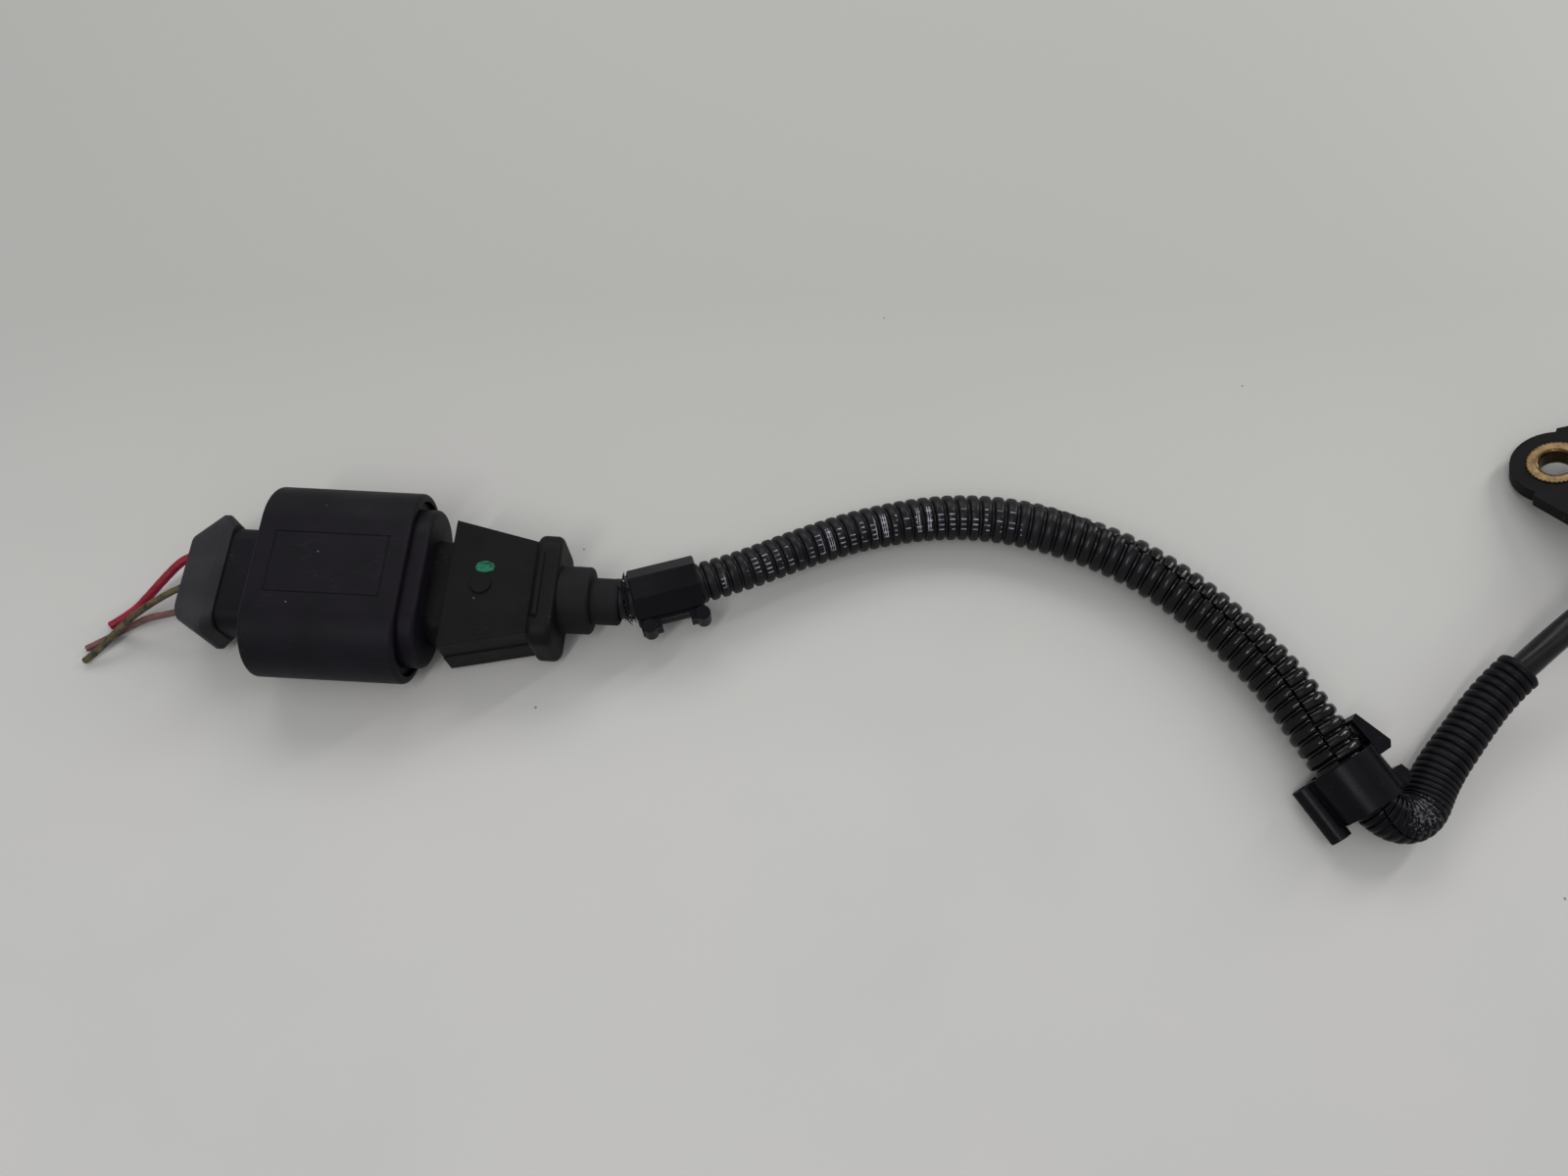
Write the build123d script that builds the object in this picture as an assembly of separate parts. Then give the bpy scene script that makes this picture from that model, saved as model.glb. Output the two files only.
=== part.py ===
"""Engine shaft position sensor with its conduit-covered lead and the mated
three-way connector, lying on a table with three cut harness wires.

Units are millimetres, +Z is up and the table is z = 0. The origin is on the
table, under the middle of the sensor head. The lead runs from the head round a
folded conduit and through a pipe clip to the connector at low X.
"""

import os
from math import atan2, cos, degrees, pi, radians, sin, sqrt, tan

from build123d import *

os.makedirs("parts", exist_ok=True)

# Clearances between pieces
SLIDE_CLEARANCE = 0.1
SEAL_CLEARANCE = 0.05

# Sensor head, in its own frame: seat plane at z = 0, probe pointing to -Z
FLANGE_THICK = 4.0
EAR_RADIUS = 9.0
BUSH_REACH = 26.0
SHOULDER_REACH = 28.2
SHOULDER_HALF_WIDTH = 9.8
SHOULDER_ANGLE = 28.0
FLANGE_HALF_WIDTH = 14.5
EDGE_BREAK = 0.5
CAP_RADIUS = 12.0
CAP_HEIGHT = 9.5
CAP_EDGE_RADIUS = 1.6
PROBE_RADIUS = 9.0
PROBE_LENGTH = 15.6
NOSE_CHAMFER = 1.0
NOSE_WALL = 1.4
CAVITY_RADIUS = 5.4
POTTING_RADIUS = 8.2
POTTING_RECESS = 0.6
RIB_THICK = 2.0
RIB_REACH = 16.5
RIB_HEIGHT = 5.7

# O-ring on the probe
RING_SECTION = 2.4
RING_GROOVE_DEPTH = 1.6
RING_GROOVE_WIDTH = 3.0
RING_GROOVE_DROP = 4.6

# Brass bush in the ear
BUSH_BORE_RADIUS = 3.3
BUSH_RADIUS = 4.6
BUSH_COLLAR_RADIUS = 5.8
BUSH_COLLAR_THICK = 0.9
BUSH_STAND_PROUD = 0.3
BUSH_LIP_RADIUS = 0.8
BUSH_SERRATIONS = 40
SERRATION_DEPTH = 0.25

# Sensing insert
CHIP_WIDTH = 4.6
CHIP_THICK = 1.6
CHIP_BACK = 1.6
MAGNET_RADIUS = 2.5
MAGNET_HEIGHT = 5.0
CARRIER_FLAT = 3.2
CARRIER_RISE = 4.0
STRIP_WIDTH = 1.0
STRIP_THICK = 0.5
STRIP_PITCH = 2.0
STRIP_RISE = 8.0
STRIP_FOOT_GAP = 0.6

# Cable outlet of the head
OUTLET_ANGLE = 78.0
OUTLET_HEIGHT = 4.4
OUTLET_RADIUS = 4.3
OUTLET_REACH = 19.0
CABLE_START = 6.5
CABLE_DIAMETER = 5.6

# How the head lies: turned about Z, tipped onto its ear and its nose
HEAD_TURN = -29.3

# Lead route: the cable's centreline from the head to the connector
LEAD_ROUTE = [
    (-0.077, -6.252, 24.192),
    (-14.408, -23.447, 21.908),
    (-31.2, -36.2, 13.8),
    (-41.0, -44.2, 9.2),
    (-48.2, -53.9, 7.1),
    (-54.2, -62.4, 5.9),
    (-59.6, -70.6, 5.7),
    (-67.7, -70.4, 6.95),
    (-76.0, -57.2, 7.6),
    (-82.6, -44.2, 6.9),
    (-88.2, -35.5, 6.5),
    (-95.8, -25.4, 5.9),
    (-104.0, -18.0, 5.2),
    (-113.0, -12.0, 4.85),
    (-124.0, -7.3, 4.7),
    (-137.0, -3.6, 4.75),
    (-151.5, -2.9, 5.1),
    (-167.5, -6.4, 5.9),
    (-181.2, -11.2, 6.9),
    (-198.5, -19.12, 8.6),
    (-220.241, -24.963, 8.6),
    (-231.673, -24.324, 8.6),
]
# Runs of that route, counted from the head
LEAD_RUNS = {"small_end": 2, "wide_end": 7, "small_start": 8, "narrow_end": 10, "clip": 19}
MOUTH_SHARE = 0.88
SMALL_CONDUIT_RADIUS = 5.0
SMALL_CONDUIT_BORE = 3.7
WIDE_CONDUIT_RADIUS = 6.1
WIDE_CONDUIT_BORE = 5.2
NARROW_CONDUIT_RADIUS = 4.45
NARROW_CONDUIT_BORE = 3.45
CONE_LENGTH = 1.2
TAPE_RADIUS = 3.3
TAPE_CLEARANCE = 0.05
TAPE_ROUTE = [
    (-225.683, -24.659, 8.6),
    (-220.241, -24.963, 8.6),
    (-215.122, -23.591, 8.6),
]

# Harness wires, from the terminals out of the rear cap to their cut ends
RED_DIAMETER = 1.9
THIN_DIAMETER = 1.5
RED_ROUTE = [
    (-290.26, -14.84, 8.6),
    (-310.7, -13.69, 8.6),
    (-315.2, -14.5, 8.2),
    (-319.6, -18.4, 6.3),
    (-323.6, -21.7, 3.9),
    (-327.4, -24.6, 1.7),
    (-332.0, -27.3, 1.0),
]
GREY_ROUTE = [
    (-290.6, -21.03, 8.6),
    (-310.55, -19.91, 8.6),
    (-315.4, -21.8, 8.5),
    (-320.8, -24.4, 7.0),
    (-325.6, -27.0, 5.2),
    (-329.4, -30.6, 3.9),
    (-332.8, -33.6, 2.2),
    (-335.8, -35.3, 1.0),
]
BROWN_ROUTE = [
    (-290.95, -27.22, 8.6),
    (-310.9, -26.1, 8.6),
    (-316.0, -27.3, 8.0),
    (-321.4, -27.2, 5.6),
    (-325.6, -27.7, 3.1),
    (-329.4, -28.8, 1.3),
    (-333.0, -30.7, 0.8),
    (-336.1, -32.5, 0.8),
]

# Connector, in its own frame: x along its axis towards the lead, axis at z = 0
CONNECTOR_SPOT = (-278.6, -21.7, 8.6)
CONNECTOR_TURN = -3.2
WAY_PITCH = 6.2
WAY_OFFSETS = {"a": WAY_PITCH, "b": 0.0, "c": -WAY_PITCH}

SLEEVE_WIDTH = 41.6
SLEEVE_HEIGHT = 22.0
SLEEVE_RISE = 2.4
SLEEVE_WALL = 1.6
SLEEVE_REAR = -15.7
SLEEVE_FRONT = 15.6
SLEEVE_EDGE_RADIUS = 0.9
SLEEVE_END_WALL = 1.8
LABEL_WIDTH = 13.5
LABEL_LENGTH = 23.6
LABEL_LINE = 0.3

COLLAR_REAR = 12.6
COLLAR_FLANGE_THICK = 2.0
COLLAR_FRONT = 19.0
COLLAR_WIDTH = 34.6
COLLAR_HEIGHT = 18.0
COLLAR_EDGE_RADIUS = 1.0

NECK_WIDTH = 22.8
NECK_HEIGHT = 11.5
NECK_CORNER = 4.0
NECK_REAR = -24.5
CAP_SEAT_STEP = 0.8
BLOCK_WIDTH = 30.0
BLOCK_HEIGHT = 13.6
BLOCK_CORNER = 4.0
RIB_TALL_SPREAD = 9.0
GUIDE_RIB_THICK = 1.8
POCKET_DEPTH = 12.6
TONGUE_WIDTH = 17.2
TONGUE_HEIGHT = 6.8
TONGUE_LENGTH = 8.5
TONGUE_CORNER = 2.0
SEAL_POCKET_WIDTH = 17.4
SEAL_POCKET_HEIGHT = 8.2
SEAL_POCKET_DEPTH = 6.5
SEAL_POCKET_CORNER = 3.9
WIRE_SEAL_LENGTH = 6.0
WIRE_SEAL_GROOVES = 2
WIRE_SEAL_GROOVE_DEPTH = 0.6
WIRE_SEAL_GROOVE_WIDTH = 1.0
WIRE_SEAL_CORNER = 3.8
WIRE_SEAL_GROOVE_CORNER = 3.2
WIRE_HOLE_RADIUS = 1.3
INTERFACE_SEAL_THICK = 1.8

TERMINAL_WIDTH = 2.6
TERMINAL_HEIGHT = 2.2
TERMINAL_REAR = -9.8
TERMINAL_FRONT = 7.6
TERMINAL_MOUTH_DEPTH = 7.0
BARREL_RADIUS = 1.1
BARREL_LENGTH = 2.2
TAB_WIDTH = 1.8
TAB_THICK = 0.6
TAB_FRONT = 2.6
TAB_REAR = 27.0

CAP_END_WIDTH = 19.5
CAP_END_HEIGHT = 9.0
CAP_RIM_WIDTH = 27.1
CAP_RIM_HEIGHT = 14.0
REAR_CAP_END = -33.5
REAR_CAP_RIM = -27.2
CAP_RIM_THICK = 0.9
CAP_CORNER = 3.0
CAP_MOUTH_DEPTH = 5.0
CAP_MOUTH_WIDTH = 16.4
CAP_MOUTH_HEIGHT = 5.0
CAP_MOUTH_CORNER = 2.4
CAP_SPIGOT_CORNER = 3.7
CAP_WIRE_HOLE_RADIUS = 1.2

PLUG_NECK_WIDTH = 22.0
PLUG_NECK_HEIGHT = 10.8
PLUG_WALL = 1.6
SLAB_START = 22.7
SLAB_END = 40.5
SLAB_WIDE = 14.2
SLAB_NARROW = 10.2
SLAB_HEIGHT = 13.0
PARTING_STEP = 0.3
PLUG_BAND_END = 45.8
PLUG_BAND_WIDTH = 24.6
PLUG_BAND_HEIGHT = 16.4
PLUG_BAND_RADIUS = 1.5
PLUG_RIDGE_WIDTH = 14.0
PLUG_RIDGE_RADIUS = 0.7
PARTITION_REAR = 20.0
PARTITION_FRONT = 24.0
CORE_CHAMBER_WIDTH = 16.0
CORE_CHAMBER_HEIGHT = 7.0
CORE_CHAMBER_END = 41.0
CORE_CHAMBER_CORNER = 1.5
GATE_DISC_RADIUS = 2.2
GATE_DISC_RISE = 0.4
GATE_DISC_SPOT = (29.7, 0.1)

GROMMET_SPIGOT_RADIUS = 4.2
GROMMET_SPIGOT_START = 42.0
GROMMET_BIG_RADIUS = 7.15
GROMMET_BIG_END = 52.2
GROMMET_SMALL_RADIUS = 4.95
GROMMET_SMALL_END = 58.2
GROMMET_EDGE_RADIUS = 0.8
GROMMET_TAPE_START = 52.9
GROMMET_TAPE_BORE = 3.9
CORE_HOLE_RADIUS = 2.4
CABLE_END = 47.0

# Clip on the conduit beside the plug
PLUG_CLIP_SPOT = (-211.1, -22.5, 8.6)
PLUG_CLIP_TURN = 15.0
PLUG_CLIP_LENGTH = 14.4
PLUG_CLIP_FLATS = 11.6
PLUG_CLIP_BORE = 4.55
PLUG_CLIP_EDGE_BREAK = 0.3
LATCH_LENGTH = 13.5
LATCH_REACH = 8.2
LATCH_HEIGHT = 3.4
HOOK_RADIUS = 1.6
HOOK_SPOTS = (-5.0, 6.4)
HOOK_HEIGHT = 4.4
LATCH_WINDOW_LENGTH = 6.2
LATCH_WINDOW_DEPTH = 1.8
LATCH_WINDOW_SHIFT = 0.7
LATCH_ROOT_DEPTH = 1.0
CLIP_SLIT = 0.4
HINGE_BEAD_RADIUS = 0.8
HINGE_BEAD_INSET = 1.0

# Pipe clip at the fold of the conduit
BEND_CLIP_MOUTH_SHARE = 0.17
BEND_CLIP_LENGTH = 10.4
BEND_CLIP_RADIUS = 7.2
BEND_CLIP_EXIT_RADIUS = 6.8
BEND_CLIP_BORE = 6.2
BEND_CLIP_EXIT_BORE = 5.5
BEND_CLIP_STEP = 5.3
BEND_CLIP_FLARE = 0.6
BEND_CLIP_FLARE_LENGTH = 1.0
BEND_CLIP_LEAD_IN = 0.15
BEND_CLIP_LEAD_IN_LENGTH = 8.0
SIDE_TUBE_SPOT = (-7.9, -3.4)
SIDE_TUBE_RADIUS = 2.3
SIDE_TUBE_BORE = 1.6
SIDE_TUBE_START = 0.2
SIDE_TUBE_END = 12.2
SIDE_TUBE_SLOT = 1.6
LUG_THICK = 1.6
LUG_BASE = -1.5
LUG_TOP = 3.6
# Outlines of the lugs: distance from the clip's wall, height over its mouth or its exit
MOUTH_LUG = [(-0.7, -5.6), (0.8, -6.2), (3.2, 1.6), (2.2, 2.8), (-1.2, 2.8), (-0.5, 0)]
EXIT_LUG = [(-0.8, -4.2), (2.0, -4.0), (2.5, -2.4), (1.9, -0.8), (0.6, -0.2), (-0.8, -0.8)]
LUG_HOLLOW_INSET = 1.2
LUG_HOLLOW_WIDTH = 3.2
LUG_HOLLOW_LENGTH = 4.0
LUG_HOLLOW_DROP = 3.0
SEAM_ANGLE = 40.0
SEAM_WIDTH = 1.3
SEAM_RISE = 0.7
SEAM_LENGTH = 9.6


def turned(points):
    """A round solid about Z from a profile of (radius, height) points."""
    return revolve(Plane.XZ * make_face(Polyline(*points, close=True)), Axis.Z)


# Sensor head


def flange_outline():
    slope_run = (FLANGE_HALF_WIDTH - SHOULDER_HALF_WIDTH) / tan(radians(SHOULDER_ANGLE))
    shoulder = -SHOULDER_REACH
    wide = shoulder + slope_run
    block = make_face(
        Polyline(
            (shoulder, -SHOULDER_HALF_WIDTH),
            (wide, -FLANGE_HALF_WIDTH),
            (0, -FLANGE_HALF_WIDTH),
            (0, FLANGE_HALF_WIDTH),
            (wide, FLANGE_HALF_WIDTH),
            (shoulder, SHOULDER_HALF_WIDTH),
            close=True,
        )
    )
    ear = Pos(-BUSH_REACH, 0) * Circle(EAR_RADIUS)
    return block + Circle(FLANGE_HALF_WIDTH) + ear


def outlet_plane(reach):
    direction = Vector(-cos(radians(OUTLET_ANGLE)), -sin(radians(OUTLET_ANGLE)), 0)
    centre = direction * reach + Vector(0, 0, FLANGE_THICK + OUTLET_HEIGHT)
    return Plane(origin=centre, z_dir=direction)


def bush_envelope():
    barrel = extrude(Circle(BUSH_RADIUS), FLANGE_THICK)
    seat_depth = BUSH_COLLAR_THICK - BUSH_STAND_PROUD
    seat = Pos(0, 0, FLANGE_THICK - seat_depth) * extrude(Circle(BUSH_COLLAR_RADIUS), seat_depth)
    return Pos(-BUSH_REACH, 0) * (barrel + seat)


def sensor_body():
    plate = extrude(flange_outline(), FLANGE_THICK)
    plate = chamfer(plate.edges().group_by(Axis.Z)[0], EDGE_BREAK)
    cap = Pos(0, 0, FLANGE_THICK) * extrude(Circle(CAP_RADIUS), CAP_HEIGHT)
    cap = fillet(cap.edges().group_by(Axis.Z)[-1], CAP_EDGE_RADIUS)
    probe = extrude(Circle(PROBE_RADIUS), -PROBE_LENGTH)
    probe = chamfer(probe.edges().group_by(Axis.Z)[0], NOSE_CHAMFER)
    boss_start = outlet_plane(CABLE_START)
    boss = boss_start * extrude(Circle(OUTLET_RADIUS), OUTLET_REACH - CABLE_START)
    rib = make_face(
        Polyline(
            (-RIB_REACH, FLANGE_THICK),
            (0, FLANGE_THICK),
            (0, FLANGE_THICK + RIB_HEIGHT),
            (-CAP_RADIUS, FLANGE_THICK + RIB_HEIGHT),
            close=True,
        )
    )
    rib = extrude(Plane.XZ * rib, RIB_THICK / 2, both=True)
    body = plate + cap + probe + boss + rib

    groove = Pos(0, 0, -RING_GROOVE_DROP) * Cylinder(PROBE_RADIUS + 1, RING_GROOVE_WIDTH)
    groove -= Pos(0, 0, -RING_GROOVE_DROP) * Cylinder(
        PROBE_RADIUS - RING_GROOVE_DEPTH, RING_GROOVE_WIDTH
    )
    top = FLANGE_THICK + CAP_HEIGHT
    floor = -PROBE_LENGTH + NOSE_WALL
    cavity = Pos(0, 0, floor) * extrude(Circle(CAVITY_RADIUS), top - floor)
    wide_cavity = Pos(0, 0, CARRIER_RISE) * extrude(Circle(POTTING_RADIUS), top - CARRIER_RISE)
    cable_bore = outlet_plane(0) * extrude(
        Circle(CABLE_DIAMETER / 2 + SLIDE_CLEARANCE), OUTLET_REACH
    )
    return body - groove - cavity - wide_cavity - cable_bore - bush_envelope()


def mounting_bush():
    top = FLANGE_THICK + BUSH_STAND_PROUD
    barrel = extrude(Circle(BUSH_RADIUS), FLANGE_THICK)
    collar = Pos(0, 0, top - BUSH_COLLAR_THICK) * extrude(
        Circle(BUSH_COLLAR_RADIUS), BUSH_COLLAR_THICK
    )
    bush = barrel + collar - extrude(Circle(BUSH_BORE_RADIUS), top)
    lip = bush.edges().filter_by(GeomType.CIRCLE).group_by(Axis.Z)[-1].sort_by(SortBy.RADIUS)[0]
    bush = fillet(lip, BUSH_LIP_RADIUS)
    notch_side = SERRATION_DEPTH * sqrt(2)
    notch = Pos(BUSH_COLLAR_RADIUS, 0) * Rot(0, 0, 45) * Rectangle(notch_side, notch_side)
    notch = Pos(0, 0, top - BUSH_COLLAR_THICK) * extrude(notch, BUSH_COLLAR_THICK)
    notches = [Rot(0, 0, 360 * i / BUSH_SERRATIONS) * notch for i in range(BUSH_SERRATIONS)]
    return Pos(-BUSH_REACH, 0) * (bush - notches)


def probe_o_ring():
    section_radius = RING_SECTION / 2
    ring_radius = PROBE_RADIUS - RING_GROOVE_DEPTH + SEAL_CLEARANCE + section_radius
    return Pos(0, 0, -RING_GROOVE_DROP) * Torus(ring_radius, section_radius)


def chip_block(spare=0.0):
    depth = CARRIER_FLAT + CHIP_BACK
    block = Box(
        CHIP_WIDTH + 2 * spare, depth + 2 * spare, CHIP_THICK, align=(Align.CENTER, Align.MIN, Align.MIN)
    )
    return Pos(0, -CHIP_BACK - spare, -PROBE_LENGTH + NOSE_WALL) * block


def magnet_rod(radius):
    foot = -PROBE_LENGTH + NOSE_WALL + CHIP_THICK
    return Pos(0, 0, foot) * extrude(Circle(radius), MAGNET_HEIGHT)


def insert_carrier():
    floor = -PROBE_LENGTH + NOSE_WALL
    height = CARRIER_RISE - floor
    core = extrude(Circle(CAVITY_RADIUS - SLIDE_CLEARANCE), height)
    flat = Pos(0, CARRIER_FLAT) * extrude(
        Rectangle(2 * CAVITY_RADIUS, CAVITY_RADIUS, align=(Align.CENTER, Align.MIN)), height
    )
    carrier = Pos(0, 0, floor) * (core - flat)
    return carrier - chip_block(SEAL_CLEARANCE) - magnet_rod(MAGNET_RADIUS + SEAL_CLEARANCE)


def lead_strip(index):
    foot = -PROBE_LENGTH + NOSE_WALL + STRIP_FOOT_GAP
    strip = Box(
        STRIP_WIDTH, STRIP_THICK, STRIP_RISE - foot, align=(Align.CENTER, Align.MIN, Align.MIN)
    )
    return Pos((index - 1) * STRIP_PITCH, CARRIER_FLAT, foot) * strip


def potting_fill():
    height = CAP_HEIGHT + FLANGE_THICK - POTTING_RECESS - CARRIER_RISE
    fill = Pos(0, 0, CARRIER_RISE) * extrude(Circle(POTTING_RADIUS), height)
    cable = outlet_plane(CABLE_START - SEAL_CLEARANCE) * extrude(
        Circle(CABLE_DIAMETER / 2 + SEAL_CLEARANCE), POTTING_RADIUS
    )
    return fill - cable - [lead_strip(i) for i in range(3)]


def head_tilt():
    """Slope of the head when it rests on its ear and its nose, in degrees."""
    rise = PROBE_LENGTH - EDGE_BREAK
    run = BUSH_REACH - PROBE_RADIUS + NOSE_CHAMFER + EAR_RADIUS
    return degrees(atan2(rise, run))


def head_place(body):
    """Where the head lies, with the middle of its box above the origin."""
    turn = Rot(0, 0, HEAD_TURN) * Rot(0, -head_tilt(), 0)
    box = (turn * body).bounding_box()
    return Pos(-(box.min.X + box.max.X) / 2, -(box.min.Y + box.max.Y) / 2, -box.min.Z) * turn


def head_pieces():
    body = sensor_body()
    pieces = {
        "sensor_body": body,
        "mounting_bush": mounting_bush(),
        "probe_o_ring": probe_o_ring(),
        "hall_chip": chip_block(),
        "bias_magnet": magnet_rod(MAGNET_RADIUS),
        "insert_carrier": insert_carrier(),
        "potting_fill": potting_fill(),
    }
    for index, letter in enumerate("abc"):
        pieces[f"lead_strip_{letter}"] = lead_strip(index)
    place = head_place(body)
    return {name: place * piece for name, piece in pieces.items()}


# Lead, conduits and wires


def corner_radii(route):
    """The largest arc that the two runs at each corner of a route allow."""
    points = [Vector(p) for p in route]
    radii = []
    for before, corner, after in zip(points, points[1:], points[2:]):
        turn = (corner - before).get_angle(after - corner)
        shorter = min((corner - before).length, (after - corner).length)
        radii.append(0.45 * shorter / tan(radians(turn / 2)))
    return radii


def swept_tube(name, points, radii, outer, inner=0.0):
    """A round tube along straight runs joined by tangent arcs."""
    path = FilletPolyline(*points, radius=radii)
    start = Plane(origin=path @ 0, z_dir=path % 0)
    tube = sweep(start * Circle(outer), path=path)
    if inner:
        tube -= sweep(start * Circle(inner), path=path)
    expected = pi * (outer**2 - inner**2) * path.length
    print(name, "length", round(path.length, 1), "volume ratio", round(tube.volume / expected, 4))
    print("  radii", [round(r, 1) for r in radii])
    return tube


def run_point(run, share=0.5):
    """A point on one run of the lead's route."""
    start = Vector(LEAD_ROUTE[run])
    return start + (Vector(LEAD_ROUTE[run + 1]) - start) * share


def lead_stretch(name, start, first, last, end, outer, inner):
    """A tube over part of the lead, past its corners from first to last."""
    radii = corner_radii(LEAD_ROUTE)[first - 1 : last]
    return swept_tube(name, [start, *LEAD_ROUTE[first : last + 1], end], radii, outer, inner)


def conduit_small():
    return lead_stretch(
        "conduit_small",
        run_point(LEAD_RUNS["small_end"]),
        LEAD_RUNS["small_end"] + 1,
        LEAD_RUNS["small_start"],
        run_point(LEAD_RUNS["small_start"]),
        SMALL_CONDUIT_RADIUS,
        SMALL_CONDUIT_BORE,
    )


def conduit_large():
    middle = run_point(LEAD_RUNS["narrow_end"])
    direction = (run_point(LEAD_RUNS["narrow_end"], 1) - run_point(LEAD_RUNS["narrow_end"], 0)).normalized()
    wide = lead_stretch(
        "conduit_large wide part",
        run_point(LEAD_RUNS["wide_end"]),
        LEAD_RUNS["wide_end"] + 1,
        LEAD_RUNS["narrow_end"],
        middle - direction * (CONE_LENGTH / 2),
        WIDE_CONDUIT_RADIUS,
        WIDE_CONDUIT_BORE,
    )
    narrow = lead_stretch(
        "conduit_large narrow part",
        middle + direction * (CONE_LENGTH / 2),
        LEAD_RUNS["narrow_end"] + 1,
        LEAD_RUNS["clip"],
        run_point(LEAD_RUNS["clip"], MOUTH_SHARE),
        NARROW_CONDUIT_RADIUS,
        NARROW_CONDUIT_BORE,
    )
    cone = Cone(WIDE_CONDUIT_RADIUS, NARROW_CONDUIT_RADIUS, CONE_LENGTH)
    cone -= Cone(WIDE_CONDUIT_BORE, NARROW_CONDUIT_BORE, CONE_LENGTH)
    return wide + Plane(origin=middle, z_dir=direction) * cone + narrow


def cord_pieces():
    tape_radii = [corner_radii(LEAD_ROUTE)[LEAD_RUNS["clip"]]]
    tape_bore = CABLE_DIAMETER / 2 + TAPE_CLEARANCE
    pieces = {
        "lead_cable": swept_tube(
            "lead_cable", LEAD_ROUTE, corner_radii(LEAD_ROUTE), CABLE_DIAMETER / 2
        ),
        "conduit_small": conduit_small(),
        "conduit_large": conduit_large(),
        "tape_wrap": swept_tube("tape_wrap", TAPE_ROUTE, tape_radii, TAPE_RADIUS, tape_bore),
    }
    wires = {
        "wire_red": (RED_ROUTE, RED_DIAMETER),
        "wire_grey": (GREY_ROUTE, THIN_DIAMETER),
        "wire_brown": (BROWN_ROUTE, THIN_DIAMETER),
    }
    for name, (route, diameter) in wires.items():
        pieces[name] = swept_tube(name, route, corner_radii(route), diameter / 2)
    return pieces


# Clips


def plug_clip():
    """Two-jaw clip with a latch bar, closed round the conduit's end."""
    half = PLUG_CLIP_LENGTH / 2
    flats = PLUG_CLIP_FLATS / 2
    octagon = RegularPolygon(flats, 8, major_radius=False, rotation=22.5)
    shell = extrude(Plane.YZ.offset(-half) * octagon, PLUG_CLIP_LENGTH)
    ends = shell.edges().group_by(Axis.X)
    shell = chamfer(ends[0] + ends[-1], PLUG_CLIP_EDGE_BREAK)
    bar_depth = LATCH_REACH - flats + LATCH_ROOT_DEPTH
    bar = Pos(0, -LATCH_REACH + bar_depth / 2, 0) * Box(LATCH_LENGTH, bar_depth, LATCH_HEIGHT)
    window = Pos(LATCH_WINDOW_SHIFT, -LATCH_REACH + LATCH_WINDOW_DEPTH / 2, 0) * Box(
        LATCH_WINDOW_LENGTH, LATCH_WINDOW_DEPTH, LATCH_HEIGHT
    )
    bead = Pos(-half + HINGE_BEAD_INSET, flats, 0) * Rot(0, 90, 0) * extrude(
        Circle(HINGE_BEAD_RADIUS), PLUG_CLIP_LENGTH - 2 * HINGE_BEAD_INSET
    )
    bore = extrude(Plane.YZ.offset(-half) * Circle(PLUG_CLIP_BORE), PLUG_CLIP_LENGTH)
    slit = Pos(0, -LATCH_REACH / 2, 0) * Box(PLUG_CLIP_LENGTH, LATCH_REACH, CLIP_SLIT)
    clip = shell + bar - window + bead - slit
    for spot in HOOK_SPOTS:
        clip += Pos(spot, -LATCH_REACH + HOOK_RADIUS / 2, 0) * Cylinder(HOOK_RADIUS, HOOK_HEIGHT)
    return Pos(*PLUG_CLIP_SPOT) * Rot(0, 0, PLUG_CLIP_TURN) * (clip - bore)


def bend_clip_plane():
    """z along the bore towards the fold, x level and away from the side tube."""
    mouth = run_point(LEAD_RUNS["wide_end"], 1 - BEND_CLIP_MOUTH_SHARE)
    direction = (run_point(LEAD_RUNS["wide_end"], 0) - run_point(LEAD_RUNS["wide_end"], 1)).normalized()
    level = Vector(-direction.Y, direction.X, 0)
    return Plane(origin=mouth, x_dir=level, z_dir=direction)


def lug(outline, wall, end):
    """A lug of the bend clip that stands on its wall, near its mouth or its exit."""
    face = make_face(Polyline(*[(wall + x, end + z) for x, z in outline], close=True))
    height = LUG_TOP - LUG_BASE
    return Pos(0, LUG_BASE + height, 0) * extrude(Plane.XZ * face, height)


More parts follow.
